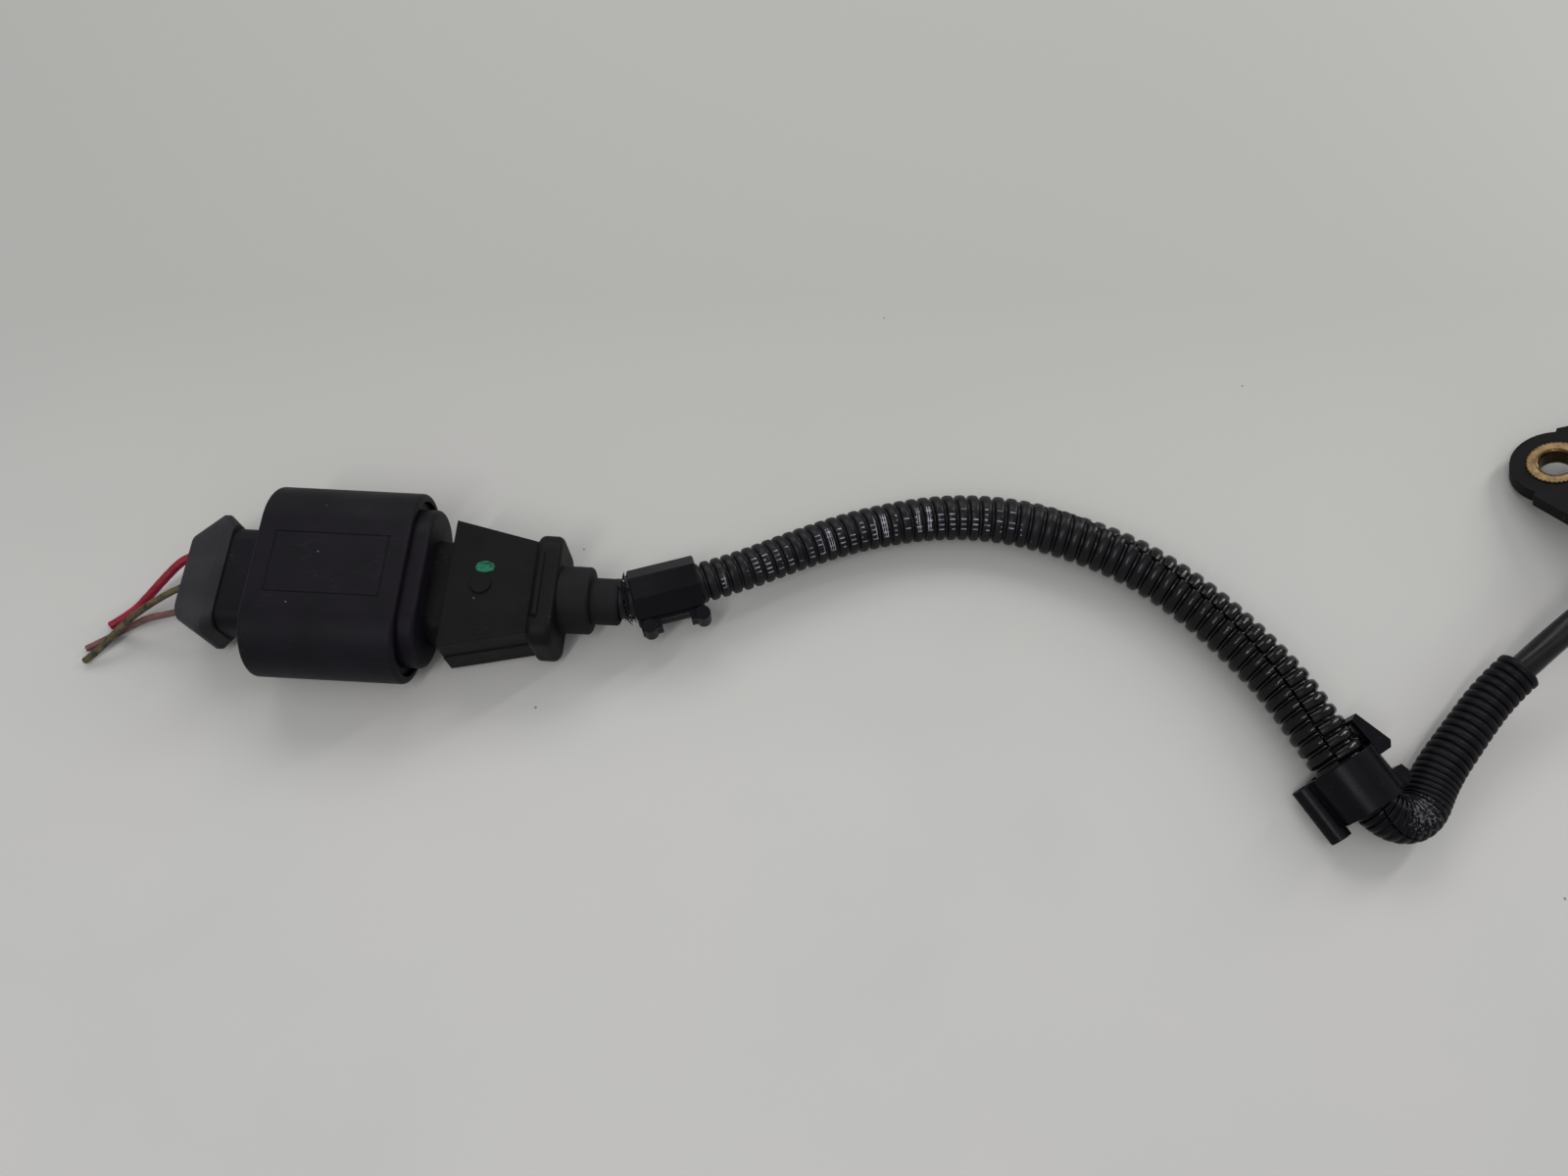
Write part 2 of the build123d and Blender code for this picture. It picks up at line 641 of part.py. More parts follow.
def bend_clip():
    """Pipe clip round the conduit's fold, with a slotted side tube and two lugs."""
    barrel = turned(
        [(0, 0), (BEND_CLIP_RADIUS, 0), (BEND_CLIP_EXIT_RADIUS, BEND_CLIP_LENGTH), (0, BEND_CLIP_LENGTH)]
    )
    tube_length = SIDE_TUBE_END - SIDE_TUBE_START
    tube = Pos(*SIDE_TUBE_SPOT, SIDE_TUBE_START) * extrude(Circle(SIDE_TUBE_RADIUS), tube_length)
    tube_hole = Pos(*SIDE_TUBE_SPOT, SIDE_TUBE_START) * extrude(Circle(SIDE_TUBE_BORE), tube_length)
    slot_angle = degrees(atan2(SIDE_TUBE_SPOT[1], SIDE_TUBE_SPOT[0]))
    slot = Pos(*SIDE_TUBE_SPOT, SIDE_TUBE_START + tube_length / 2) * Rot(0, 0, slot_angle) * Box(
        2 * SIDE_TUBE_RADIUS, SIDE_TUBE_SLOT, tube_length, align=(Align.MIN, Align.CENTER, Align.CENTER)
    )
    seam = Rot(0, 0, SEAM_ANGLE) * Pos(BEND_CLIP_EXIT_RADIUS, 0, SEAM_LENGTH / 2) * Box(
        2 * SEAM_RISE, SEAM_WIDTH, SEAM_LENGTH
    )
    lugs = [
        lug(MOUTH_LUG, BEND_CLIP_RADIUS, 0),
        lug(EXIT_LUG, BEND_CLIP_EXIT_RADIUS, BEND_CLIP_LENGTH),
    ]
    hollow_spot = (BEND_CLIP_RADIUS - LUG_HOLLOW_INSET, LUG_TOP - LUG_THICK, -LUG_HOLLOW_DROP)
    hollow = Pos(*hollow_spot) * Box(
        LUG_HOLLOW_WIDTH, 2 * LUG_THICK, LUG_HOLLOW_LENGTH, align=(Align.MIN, Align.MAX, Align.CENTER)
    )
    bore = turned(
        [
            (0, -BEND_CLIP_LEAD_IN_LENGTH),
            (BEND_CLIP_BORE + BEND_CLIP_LEAD_IN, -BEND_CLIP_LEAD_IN_LENGTH),
            (BEND_CLIP_BORE, 0),
            (BEND_CLIP_BORE, BEND_CLIP_STEP),
            (BEND_CLIP_EXIT_BORE, BEND_CLIP_STEP),
            (BEND_CLIP_EXIT_BORE, BEND_CLIP_LENGTH - BEND_CLIP_FLARE_LENGTH),
            (BEND_CLIP_EXIT_BORE + BEND_CLIP_FLARE, BEND_CLIP_LENGTH),
            (0, BEND_CLIP_LENGTH),
        ]
    )
    clip = barrel + tube + seam + lugs - slot - tube_hole - bore - hollow
    return bend_clip_plane() * clip


# Connector


def across(x):
    """The plane across the connector's axis at x."""
    return Plane.YZ.offset(x)


def prism(sketch, start, end, rise=0.0):
    return Pos(0, 0, rise) * extrude(across(start) * sketch, end - start)


def oval(width, height):
    return SlotOverall(width, height)


def at_each_way(solid):
    return [Pos(0, offset, 0) * solid for offset in WAY_OFFSETS.values()]


def round_ends(solid, radius, last_only=False):
    groups = solid.edges().group_by(Axis.X)
    edges = groups[-1] if last_only else groups[0] + groups[-1]
    return fillet(edges, radius)


def lock_sleeve():
    """Oval outer shell with an end wall round the socket's neck."""
    outer = prism(oval(SLEEVE_WIDTH, SLEEVE_HEIGHT), SLEEVE_REAR, SLEEVE_FRONT)
    outer = round_ends(outer, SLEEVE_EDGE_RADIUS)
    inner_size = (SLEEVE_WIDTH - 2 * SLEEVE_WALL, SLEEVE_HEIGHT - 2 * SLEEVE_WALL)
    inner = prism(oval(*inner_size), SLEEVE_REAR + SLEEVE_END_WALL, SLEEVE_FRONT)
    neck_gap = 2 * SLIDE_CLEARANCE
    opening = prism(
        RectangleRounded(NECK_WIDTH + neck_gap, NECK_HEIGHT + neck_gap, NECK_CORNER),
        SLEEVE_REAR,
        SLEEVE_REAR + SLEEVE_END_WALL,
    )
    shell = Pos(0, 0, SLEEVE_RISE) * (outer - inner) - opening
    label = Rectangle(LABEL_LENGTH, LABEL_WIDTH) - Rectangle(
        LABEL_LENGTH - 2 * LABEL_LINE, LABEL_WIDTH - 2 * LABEL_LINE
    )
    top = SLEEVE_RISE + SLEEVE_HEIGHT / 2
    return shell - Pos(0, 0, top - LABEL_LINE / 2) * extrude(label, LABEL_LINE)


def collar_ring():
    """Front collar: a flange in the sleeve's bore and an oval nose."""
    gap = 2 * SLIDE_CLEARANCE
    flange = prism(
        oval(SLEEVE_WIDTH - 2 * SLEEVE_WALL - gap, SLEEVE_HEIGHT - 2 * SLEEVE_WALL - gap),
        COLLAR_REAR,
        COLLAR_REAR + COLLAR_FLANGE_THICK,
    )
    nose = prism(oval(COLLAR_WIDTH, COLLAR_HEIGHT), COLLAR_REAR, COLLAR_FRONT)
    nose = round_ends(nose, COLLAR_EDGE_RADIUS, last_only=True)
    opening = prism(
        RectangleRounded(PLUG_NECK_WIDTH + gap, PLUG_NECK_HEIGHT + gap, NECK_CORNER),
        COLLAR_REAR,
        COLLAR_FRONT,
    )
    return Pos(0, 0, SLEEVE_RISE) * (flange + nose) - opening


def socket_body():
    """Socket with a pocket for the plug, a terminal tongue and a sealed neck."""
    rear_wall = SLEEVE_REAR + SLEEVE_END_WALL
    neck = prism(RectangleRounded(NECK_WIDTH, NECK_HEIGHT, NECK_CORNER), NECK_REAR, rear_wall)
    block = prism(RectangleRounded(BLOCK_WIDTH, BLOCK_HEIGHT, BLOCK_CORNER), rear_wall, COLLAR_REAR)
    block_length = COLLAR_REAR - rear_wall
    middle = (COLLAR_REAR + rear_wall) / 2
    bore_top = SLEEVE_RISE + SLEEVE_HEIGHT / 2 - SLEEVE_WALL - SLIDE_CLEARANCE
    bore_side = SLEEVE_WIDTH / 2 - SLEEVE_WALL - SLIDE_CLEARANCE
    top_ribs = [
        Pos(middle, side * RIB_TALL_SPREAD, bore_top / 2) * Box(block_length, GUIDE_RIB_THICK, bore_top)
        for side in (-1, 1)
    ]
    side_rib = Pos(middle, 0, SLEEVE_RISE) * Box(block_length, 2 * bore_side, GUIDE_RIB_THICK)
    pocket_size = (PLUG_NECK_WIDTH + 4 * SLIDE_CLEARANCE, PLUG_NECK_HEIGHT + 4 * SLIDE_CLEARANCE)
    pocket_floor = COLLAR_REAR - POCKET_DEPTH
    pocket = prism(RectangleRounded(*pocket_size, NECK_CORNER), pocket_floor, COLLAR_REAR)
    tongue = prism(
        RectangleRounded(TONGUE_WIDTH, TONGUE_HEIGHT, TONGUE_CORNER),
        pocket_floor,
        pocket_floor + TONGUE_LENGTH,
    )
    seal_pocket = prism(
        RectangleRounded(SEAL_POCKET_WIDTH, SEAL_POCKET_HEIGHT, SEAL_POCKET_CORNER),
        NECK_REAR,
        NECK_REAR + SEAL_POCKET_DEPTH,
    )
    gap = 2 * SLIDE_CLEARANCE
    cavity = prism(
        Rectangle(TERMINAL_WIDTH + gap, TERMINAL_HEIGHT + gap),
        TERMINAL_REAR - SLIDE_CLEARANCE,
        pocket_floor + TONGUE_LENGTH,
    )
    wire_hole = prism(Circle(WIRE_HOLE_RADIUS), NECK_REAR, TERMINAL_REAR)
    body = neck + block + top_ribs + side_rib - pocket + tongue - seal_pocket
    return body - at_each_way(cavity) - at_each_way(wire_hole)


def interface_seal():
    floor = COLLAR_REAR - POCKET_DEPTH
    gap = 2 * SEAL_CLEARANCE
    outer = RectangleRounded(PLUG_NECK_WIDTH + gap, PLUG_NECK_HEIGHT + gap, NECK_CORNER)
    inner = RectangleRounded(TONGUE_WIDTH + gap, TONGUE_HEIGHT + gap, TONGUE_CORNER)
    return prism(outer - inner, floor, floor + INTERFACE_SEAL_THICK)


def wire_seal():
    """Ribbed rubber plug with a hole for each wire."""
    gap = 2 * SEAL_CLEARANCE
    size = (SEAL_POCKET_WIDTH - gap, SEAL_POCKET_HEIGHT - gap)
    end = NECK_REAR + SEAL_POCKET_DEPTH
    start = end - WIRE_SEAL_LENGTH
    seal = prism(RectangleRounded(*size, WIRE_SEAL_CORNER), start, end)
    slim = (size[0] - 2 * WIRE_SEAL_GROOVE_DEPTH, size[1] - 2 * WIRE_SEAL_GROOVE_DEPTH)
    band = Rectangle(2 * size[0], 2 * size[1]) - RectangleRounded(*slim, WIRE_SEAL_GROOVE_CORNER)
    pitch = WIRE_SEAL_LENGTH / (WIRE_SEAL_GROOVES + 1)
    groove_starts = [
        start + i * pitch - WIRE_SEAL_GROOVE_WIDTH / 2 for i in range(1, WIRE_SEAL_GROOVES + 1)
    ]
    grooves = [prism(band, x, x + WIRE_SEAL_GROOVE_WIDTH) for x in groove_starts]
    holes = [
        Pos(0, offset, 0) * prism(Circle(wire_radius(letter) + SEAL_CLEARANCE), start, end)
        for letter, offset in WAY_OFFSETS.items()
    ]
    return seal - grooves - holes


def wire_radius(letter):
    return RED_DIAMETER / 2 if letter == "a" else THIN_DIAMETER / 2


def rear_cap():
    """Cap with a flared rim that holds the wire seal in the neck."""
    end_face = across(REAR_CAP_END) * RectangleRounded(CAP_END_WIDTH, CAP_END_HEIGHT, CAP_CORNER)
    rim_size = RectangleRounded(CAP_RIM_WIDTH, CAP_RIM_HEIGHT, CAP_CORNER)
    rim_start = across(REAR_CAP_RIM) * rim_size
    tail = loft([end_face, rim_start])
    rim = prism(rim_size, REAR_CAP_RIM, REAR_CAP_RIM + CAP_RIM_THICK)
    neck_face = RectangleRounded(NECK_WIDTH + CAP_SEAT_STEP, NECK_HEIGHT + CAP_SEAT_STEP, CAP_CORNER)
    front = loft([across(REAR_CAP_RIM + CAP_RIM_THICK) * rim_size, across(NECK_REAR) * neck_face])
    spigot_size = (SEAL_POCKET_WIDTH - 4 * SLIDE_CLEARANCE, SEAL_POCKET_HEIGHT - 4 * SLIDE_CLEARANCE)
    spigot = prism(
        RectangleRounded(*spigot_size, CAP_SPIGOT_CORNER),
        NECK_REAR,
        NECK_REAR + SEAL_POCKET_DEPTH - WIRE_SEAL_LENGTH,
    )
    mouth = prism(
        RectangleRounded(CAP_MOUTH_WIDTH, CAP_MOUTH_HEIGHT, CAP_MOUTH_CORNER),
        REAR_CAP_END,
        REAR_CAP_END + CAP_MOUTH_DEPTH,
    )
    hole = prism(Circle(CAP_WIRE_HOLE_RADIUS), REAR_CAP_END, NECK_REAR + SEAL_POCKET_DEPTH)
    return tail + rim + front + spigot - mouth - at_each_way(hole)


def socket_terminal():
    """Box contact with a slot for the tab and a barrel round the wire's end."""
    box = prism(Rectangle(TERMINAL_WIDTH, TERMINAL_HEIGHT), TERMINAL_REAR, TERMINAL_FRONT)
    barrel = prism(Circle(BARREL_RADIUS), TERMINAL_REAR - BARREL_LENGTH, TERMINAL_REAR)
    gap = 2 * SLIDE_CLEARANCE
    slot = prism(
        Rectangle(TAB_WIDTH + gap, TAB_THICK + gap), TERMINAL_FRONT - TERMINAL_MOUTH_DEPTH, TERMINAL_FRONT
    )
    return box + barrel - slot


def plug_tab():
    blade = prism(Rectangle(TAB_WIDTH, TAB_THICK), TAB_FRONT, TAB_REAR)
    return chamfer(blade.edges().group_by(Axis.X)[0], TAB_THICK / 4)


def plug_housing():
    """Moulded plug: hollow neck, tapered slab and a ridged rear band."""
    neck_end = COLLAR_REAR - POCKET_DEPTH + INTERFACE_SEAL_THICK + SLIDE_CLEARANCE
    neck = prism(RectangleRounded(PLUG_NECK_WIDTH, PLUG_NECK_HEIGHT, NECK_CORNER), neck_end, SLAB_START)
    half_height = SLAB_HEIGHT / 2

    def slab_outline(spare):
        return make_face(
            Polyline(
                (SLAB_START, -SLAB_WIDE - spare),
                (SLAB_END, -SLAB_NARROW - spare),
                (SLAB_END, SLAB_NARROW + spare),
                (SLAB_START, SLAB_WIDE + spare),
                close=True,
            )
        )

    slab = extrude(slab_outline(0), half_height) + extrude(slab_outline(PARTING_STEP), -half_height)
    band = prism(RectangleRounded(PLUG_BAND_WIDTH, PLUG_BAND_HEIGHT, NECK_CORNER), SLAB_END, PLUG_BAND_END)
    band = round_ends(band, PLUG_BAND_RADIUS)
    ridge_x = SLAB_END + PLUG_BAND_RADIUS
    ridge = Pos(ridge_x, 0, PLUG_BAND_HEIGHT / 2) * Rot(90, 0, 0) * Cylinder(
        PLUG_RIDGE_RADIUS, PLUG_RIDGE_WIDTH
    )
    disc = Pos(*GATE_DISC_SPOT, half_height) * extrude(Circle(GATE_DISC_RADIUS), GATE_DISC_RISE)
    body = neck + slab + band + ridge + disc

    inner_size = (PLUG_NECK_WIDTH - 2 * PLUG_WALL, PLUG_NECK_HEIGHT - 2 * PLUG_WALL)
    front_hollow = prism(RectangleRounded(*inner_size, NECK_CORNER - PLUG_WALL), neck_end, PARTITION_REAR)
    chamber = prism(
        RectangleRounded(CORE_CHAMBER_WIDTH, CORE_CHAMBER_HEIGHT, CORE_CHAMBER_CORNER),
        PARTITION_FRONT,
        CORE_CHAMBER_END,
    )
    spigot_hole = prism(Circle(GROMMET_SPIGOT_RADIUS), CORE_CHAMBER_END, PLUG_BAND_END)
    slot = prism(
        Rectangle(TAB_WIDTH + 2 * SEAL_CLEARANCE, TAB_THICK + 2 * SEAL_CLEARANCE),
        PARTITION_REAR,
        PARTITION_FRONT,
    )
    return body - front_hollow - chamber - spigot_hole - at_each_way(slot)


def cable_grommet():
    """Stepped rubber boot from the plug onto the taped end of the cable."""
    spigot = prism(
        Circle(GROMMET_SPIGOT_RADIUS - SEAL_CLEARANCE), GROMMET_SPIGOT_START, PLUG_BAND_END
    )
    big = prism(Circle(GROMMET_BIG_RADIUS), PLUG_BAND_END, GROMMET_BIG_END)
    big = round_ends(big, GROMMET_EDGE_RADIUS, last_only=True)
    small = prism(Circle(GROMMET_SMALL_RADIUS), GROMMET_BIG_END, GROMMET_SMALL_END)
    small = round_ends(small, GROMMET_EDGE_RADIUS, last_only=True)
    core_hole = prism(Circle(CORE_HOLE_RADIUS), GROMMET_SPIGOT_START, CABLE_END)
    cable_radius = CABLE_DIAMETER / 2 + SLIDE_CLEARANCE
    cable_hole = prism(Circle(cable_radius), CABLE_END, GROMMET_TAPE_START)
    tape_hole = prism(Circle(GROMMET_TAPE_BORE), GROMMET_TAPE_START, GROMMET_SMALL_END)
    return spigot + big + small - core_hole - cable_hole - tape_hole


def connector_pieces():
    pieces = {
        "lock_sleeve": lock_sleeve(),
        "collar_ring": collar_ring(),
        "socket_body": socket_body(),
        "interface_seal": interface_seal(),
        "wire_seal": wire_seal(),
        "rear_cap": rear_cap(),
        "plug_housing": plug_housing(),
        "cable_grommet": cable_grommet(),
    }
    for letter, offset in WAY_OFFSETS.items():
        pieces[f"socket_terminal_{letter}"] = Pos(0, offset, 0) * socket_terminal()
        pieces[f"plug_tab_{letter}"] = Pos(0, offset, 0) * plug_tab()
    place = Pos(*CONNECTOR_SPOT) * Rot(0, 0, CONNECTOR_TURN)
    return {name: place * piece for name, piece in pieces.items()}


def all_pieces():
    pieces = {**head_pieces(), **cord_pieces(), **connector_pieces()}
    pieces["plug_clip"] = plug_clip()
    pieces["bend_clip"] = bend_clip()
    return pieces


def main():
    for name, piece in all_pieces().items():
        piece.label = name
        export_step(piece, f"parts/{name}.step")


if __name__ == "__main__":
    main()
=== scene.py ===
"""Looks of an engine shaft position sensor with its conduit-covered lead, the
mated connector and three cut harness wires, lying on a pale table.

Units are metres, +Z is up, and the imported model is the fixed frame. Angles
round a tube are in radians from its upper side, towards the side that is on the
right of someone who looks along it.
"""

import math

import bpy
import numpy as np
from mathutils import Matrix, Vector


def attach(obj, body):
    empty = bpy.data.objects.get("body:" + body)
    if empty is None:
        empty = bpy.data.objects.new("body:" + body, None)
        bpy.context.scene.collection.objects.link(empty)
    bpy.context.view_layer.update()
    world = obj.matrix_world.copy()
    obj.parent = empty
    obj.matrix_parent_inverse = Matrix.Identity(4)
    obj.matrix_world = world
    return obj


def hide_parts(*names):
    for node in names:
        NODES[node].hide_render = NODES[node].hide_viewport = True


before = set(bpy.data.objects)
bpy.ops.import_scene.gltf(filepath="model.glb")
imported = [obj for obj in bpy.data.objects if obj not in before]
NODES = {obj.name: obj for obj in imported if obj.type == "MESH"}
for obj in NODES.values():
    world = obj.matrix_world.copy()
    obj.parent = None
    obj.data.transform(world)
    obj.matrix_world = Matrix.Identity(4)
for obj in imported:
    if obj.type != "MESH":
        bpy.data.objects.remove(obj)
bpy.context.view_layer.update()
MM = 0.001
TAU = 2 * math.pi

# Camera
CAMERA_PLACE = (-0.18607, -0.11815, 0.2394)
CAMERA_TILT = math.radians(22.7)
CAMERA_LENS = 27.0
CAMERA_NEAREST = 0.01
SENSOR_WIDTH = 36.0

# Lamps: place, size, power in watts and colour, all aimed at one spot on the table
LIT_SPOT = (-0.17, -0.03, 0.0)
LAMPS = {
    "window": ((-0.30, 0.62, 0.62), (0.7, 0.35), 2.6, (1.0, 0.99, 0.97)),
    "ceiling": ((-0.05, -0.10, 0.95), (0.5, 0.5), 0.5, (1.0, 0.99, 0.98)),
    "side": ((0.42, 0.42, 0.42), (0.07, 0.5), 2.2, (1.0, 0.99, 0.98)),
    "glint": ((-0.43, -0.42, 0.80), (0.06, 0.5), 2.2, (1.0, 0.99, 0.98)),
}
SURROUNDINGS_COLOUR = (0.94, 0.96, 1.0, 1.0)
SURROUNDINGS_STRENGTH = 0.58

# Table: half its side, and where its far part, darkened by painted shade, begins and ends along Y
TABLE_REACH = 2.5
TABLE_SHADED_FAR = (-0.06, 0.06)

# Lead: control points of its middle line, from the head to the connector
LEAD_ROUTE = [
    (-0.000077, -0.006252, 0.024192),
    (-0.014408, -0.023447, 0.021908),
    (-0.0307, -0.0367, 0.0138),
    (-0.0405, -0.0448, 0.0092),
    (-0.0482, -0.0539, 0.0071),
    (-0.0550, -0.0620, 0.0059),
    (-0.0599, -0.0706, 0.0057),
    (-0.0675, -0.0702, 0.00695),
    (-0.0756, -0.0569, 0.0076),
    (-0.0819, -0.0437, 0.0069),
    (-0.0879, -0.0352, 0.0065),
    (-0.0959, -0.0258, 0.0060),
    (-0.1041, -0.0184, 0.0057),
    (-0.1131, -0.0124, 0.0056),
    (-0.1240, -0.0076, 0.0055),
    (-0.1370, -0.0039, 0.0054),
    (-0.1515, -0.0031, 0.0054),
    (-0.1676, -0.0062, 0.0060),
    (-0.1812, -0.0111, 0.0069),
    (-0.1985, -0.01912, 0.0086),
    (-0.220241, -0.024963, 0.0086),
    (-0.231673, -0.024324, 0.0086),
]
CABLE_RADIUS = 2.8 * MM
# How far a cord's cores show through its jacket, their count and their turn in a metre
CABLE_CORES = (0.16 * MM, 3, TAU / 0.07)
WIRE_CORES = (0.03 * MM, 5, TAU / 0.012)

# Narrow conduit, from the head's side through the fold
SMALL_CONDUIT_START = (-0.0361, -0.0402, 0.0115)
SMALL_CONDUIT_END = (-0.0793, -0.0507, 0.00725)
SMALL_CONDUIT_BORE = 3.7 * MM
# Outer radius in millimetres at places along X in millimetres
SMALL_CONDUIT_RADII = [(-80, 4.7), (-60, 4.9), (-54, 4.75), (-46, 4.5), (-34, 4.4)]
# The fold's two ends
FOLD_START = (-0.0560, -0.0655, 0.0058)
FOLD_END = (-0.0716, -0.0642, 0.0073)
# Past a stretch of even ribs the pitch and depth shrink up to the fold, from the first
# number to the second, in millimetres
EVEN_RIBS_LENGTH = 22 * MM
SMALL_RIB_PITCHES = (1.9, 1.2)
SMALL_RIB_DEPTHS = (0.6, 0.4)
# Angles of its seam in degrees, before and after the fold
SMALL_SEAM_ANGLES = (-110, -5)

# Wide split conduit, from the pipe clip to the plug
LARGE_CONDUIT_START = (-0.07185, -0.0638, 0.007275)
LARGE_CONDUIT_END = (-0.2195, -0.0247, 0.0086)
LARGE_CONDUIT_BORE = 3.45 * MM
# Along X in millimetres: outer radius, rib pitch and the seam's angle in degrees
LARGE_CONDUIT_RADII = [
    (-205, 4.35),
    (-180, 4.5),
    (-165, 4.7),
    (-150, 4.95),
    (-135, 5.15),
    (-120, 5.3),
    (-105, 5.4),
    (-95, 5.55),
    (-85, 5.7),
    (-72, 5.75),
]
LARGE_CONDUIT_PITCHES = [(-205, 2.4), (-150, 2.6), (-125, 2.95), (-110, 3.2), (-96, 3.2), (-76, 2.75)]
LARGE_CONDUIT_SEAM = [
    (-150, 110),
    (-131, 62),
    (-120, 34),
    (-110, 10),
    (-99, -2),
    (-87, -13),
    (-76, -28),
]
# Depth of its grooves in shares of its outer radius
LARGE_RIB_SHARE = 0.17
# How far its torn end is ragged, and how much of that it also flares
RAGGED_END = 1.3 * MM
RAGGED_FLARE = 0.9
TEAR_SEED = 11

# Profile of one corrugation: share of its pitch, share of its height
RIB_PROFILE = [
    (0.00, 0.00),
    (0.07, 0.06),
    (0.12, 0.45),
    (0.19, 0.78),
    (0.30, 0.95),
    (0.50, 1.00),
    (0.70, 0.95),
    (0.81, 0.78),
    (0.88, 0.45),
    (0.93, 0.06),
]
# Ribs vanish inside a bend between these shares of its radius
RIB_FADE = (0.3, 0.75)
# Largest share of a bend's radius that a tube's skin and its bore reach inward. A
# bend with a radius of a metre or more counts as straight.
PINCH = 0.82
PINCH_BORE = 0.68
LEAST_BEND = 1.0
# Edges of a made mesh that turn by more than this stay sharp
SHARP_ANGLE = math.radians(50)

# Print on the conduit: its stretch along X, its angles and rows, the pitches of its
# signs and strokes, and the shares of them that are printed
PRINT_SPAN = (-0.1995, -0.1345)
PRINT_ANGLES = (-1.0, 0.15)
PRINT_ROWS = 5.0
PRINT_ROW_MARGIN = 0.01
PRINT_ROW_SHARE = 0.24
PRINT_SIGN = 1.6 * MM
PRINT_STROKE = 0.5 * MM
PRINT_STROKE_SHARE = 0.4
PRINT_DASHES = 0.7
PRINT_BLOCKS = 0.32
# A block is some signs long and takes its chance from a row past the printed ones
PRINT_BLOCK_SIGNS = 2
PRINT_BLOCK_ROW = 7.0

# Oily stretch of the conduits: where it begins and ends along X
OIL_BEGINS = (-0.135, -0.095)
OIL_ENDS = (-0.075, -0.060)

# Stress whitening at the fold, lightened further as a painted sheen, and a dab of paint on the plug,
# as ellipsoids with half axes
FOLD_WEAR_AND_SHEEN_SPOT = (-0.0610, -0.0702, 0.0100)
FOLD_WEAR_AND_SHEEN_SIZE = (6.0 * MM, 6.0 * MM, 5.0 * MM)
PAINT_DAB_SPOT = (-0.24834, -0.01945, 0.0151)
PAINT_DAB_SIZE = (2.2 * MM, 1.35 * MM, 1.0 * MM)

# Cloth tape round the cable at the plug
TAPE_START = (-0.2151, -0.0236, 0.0086)
TAPE_END = (-0.2257, -0.0247, 0.0086)
TAPE_RADIUS = 3.3 * MM
TAPE_LAP = 3.2 * MM
TAPE_THICKNESS = 0.22 * MM
TAPE_PLAY = 0.05 * MM

# Torn threads at the frayed end of the wide conduit
THREADS_START = (-0.2184, -0.0242, 0.0086)
THREADS_REACH = 1.8 * MM
THREADS_FOOT = 4.0 * MM
THREAD_COUNT = 60
THREAD_RADIUS = 0.2 * MM
# Shortest and longest thread, in millimetres
THREAD_LENGTHS = (0.9, 2.6)
THREAD_SIDES = 5
# A thread leans outward, and by up to half of the other two ahead and aside
THREAD_LEAN = (0.7, 1.3, 1.8)
THREAD_DROOP = 0.5
# Share of a thread's length, share of its radius
THREAD_TAPER = [(0.0, 1.0), (0.4, 0.9), (0.75, 0.6), (1.0, 0.2)]
THREAD_SEED = 21

# Copper strands in a wire's cut end: one in the middle and the rest in a ring, whose
# size is a share of the wire's radius. Some lean in, and more of them lean out.
STRAND_RADIUS = 0.13 * MM
STRAND_RING = 0.62
STRAND_SINK = 0.5 * MM
# Shortest and longest strand, in millimetres
STRAND_LENGTHS = (0.6, 0.8)
STRAND_SPLAY = 0.35
STRANDS_LEANING_IN = 0.3
STRAND_SWAY = 0.12
STRAND_SIDES = 6

# Harness wires: control points from their terminals to their cut ends
RED_ROUTE = [
    (-0.29026, -0.01484, 0.0086),
    (-0.3107, -0.01369, 0.0086),
    (-0.3152, -0.0145, 0.0082),
    (-0.3196, -0.0184, 0.0063),
    (-0.3236, -0.0217, 0.0039),
    (-0.3274, -0.0246, 0.0017),
    (-0.3320, -0.0273, 0.0010),
]
GREY_ROUTE = [
    (-0.2906, -0.02103, 0.0086),
    (-0.31055, -0.01991, 0.0086),
    (-0.3154, -0.0218, 0.0085),
    (-0.3208, -0.0244, 0.0070),
    (-0.3256, -0.0270, 0.0052),
    (-0.3294, -0.0306, 0.0039),
    (-0.3328, -0.0336, 0.0022),
    (-0.3358, -0.0353, 0.0010),
]
BROWN_ROUTE = [
    (-0.29095, -0.02722, 0.0086),
    (-0.3109, -0.0261, 0.0086),
    (-0.3160, -0.0273, 0.0080),
    (-0.3214, -0.0272, 0.0056),
    (-0.3256, -0.0277, 0.0031),
    (-0.3294, -0.0288, 0.0013),
    (-0.3330, -0.0307, 0.0008),
    (-0.3361, -0.0325, 0.0008),
]
# Each wire's node and slot, route, diameter, length, count of strands and their seed
WIRES = {
    "red_wire": ("wire_red", RED_ROUTE, 1.9 * MM, 0.0474, 8, 3),
    "grey_wire": ("wire_grey", GREY_ROUTE, 1.5 * MM, 0.0509, 7, 4),
    "brown_wire": ("wire_brown", BROWN_ROUTE, 1.5 * MM, 0.0479, 7, 5),
}


# Lines


def unit(vectors):
    return vectors / np.linalg.norm(vectors, axis=-1, keepdims=True)


def smooth_step(value, low, high):
    share = np.clip((value - low) / (high - low), 0.0, 1.0)
    return share * share * (3 - 2 * share)


def between(limits, share):
    first, last = limits
    return first + (last - first) * share


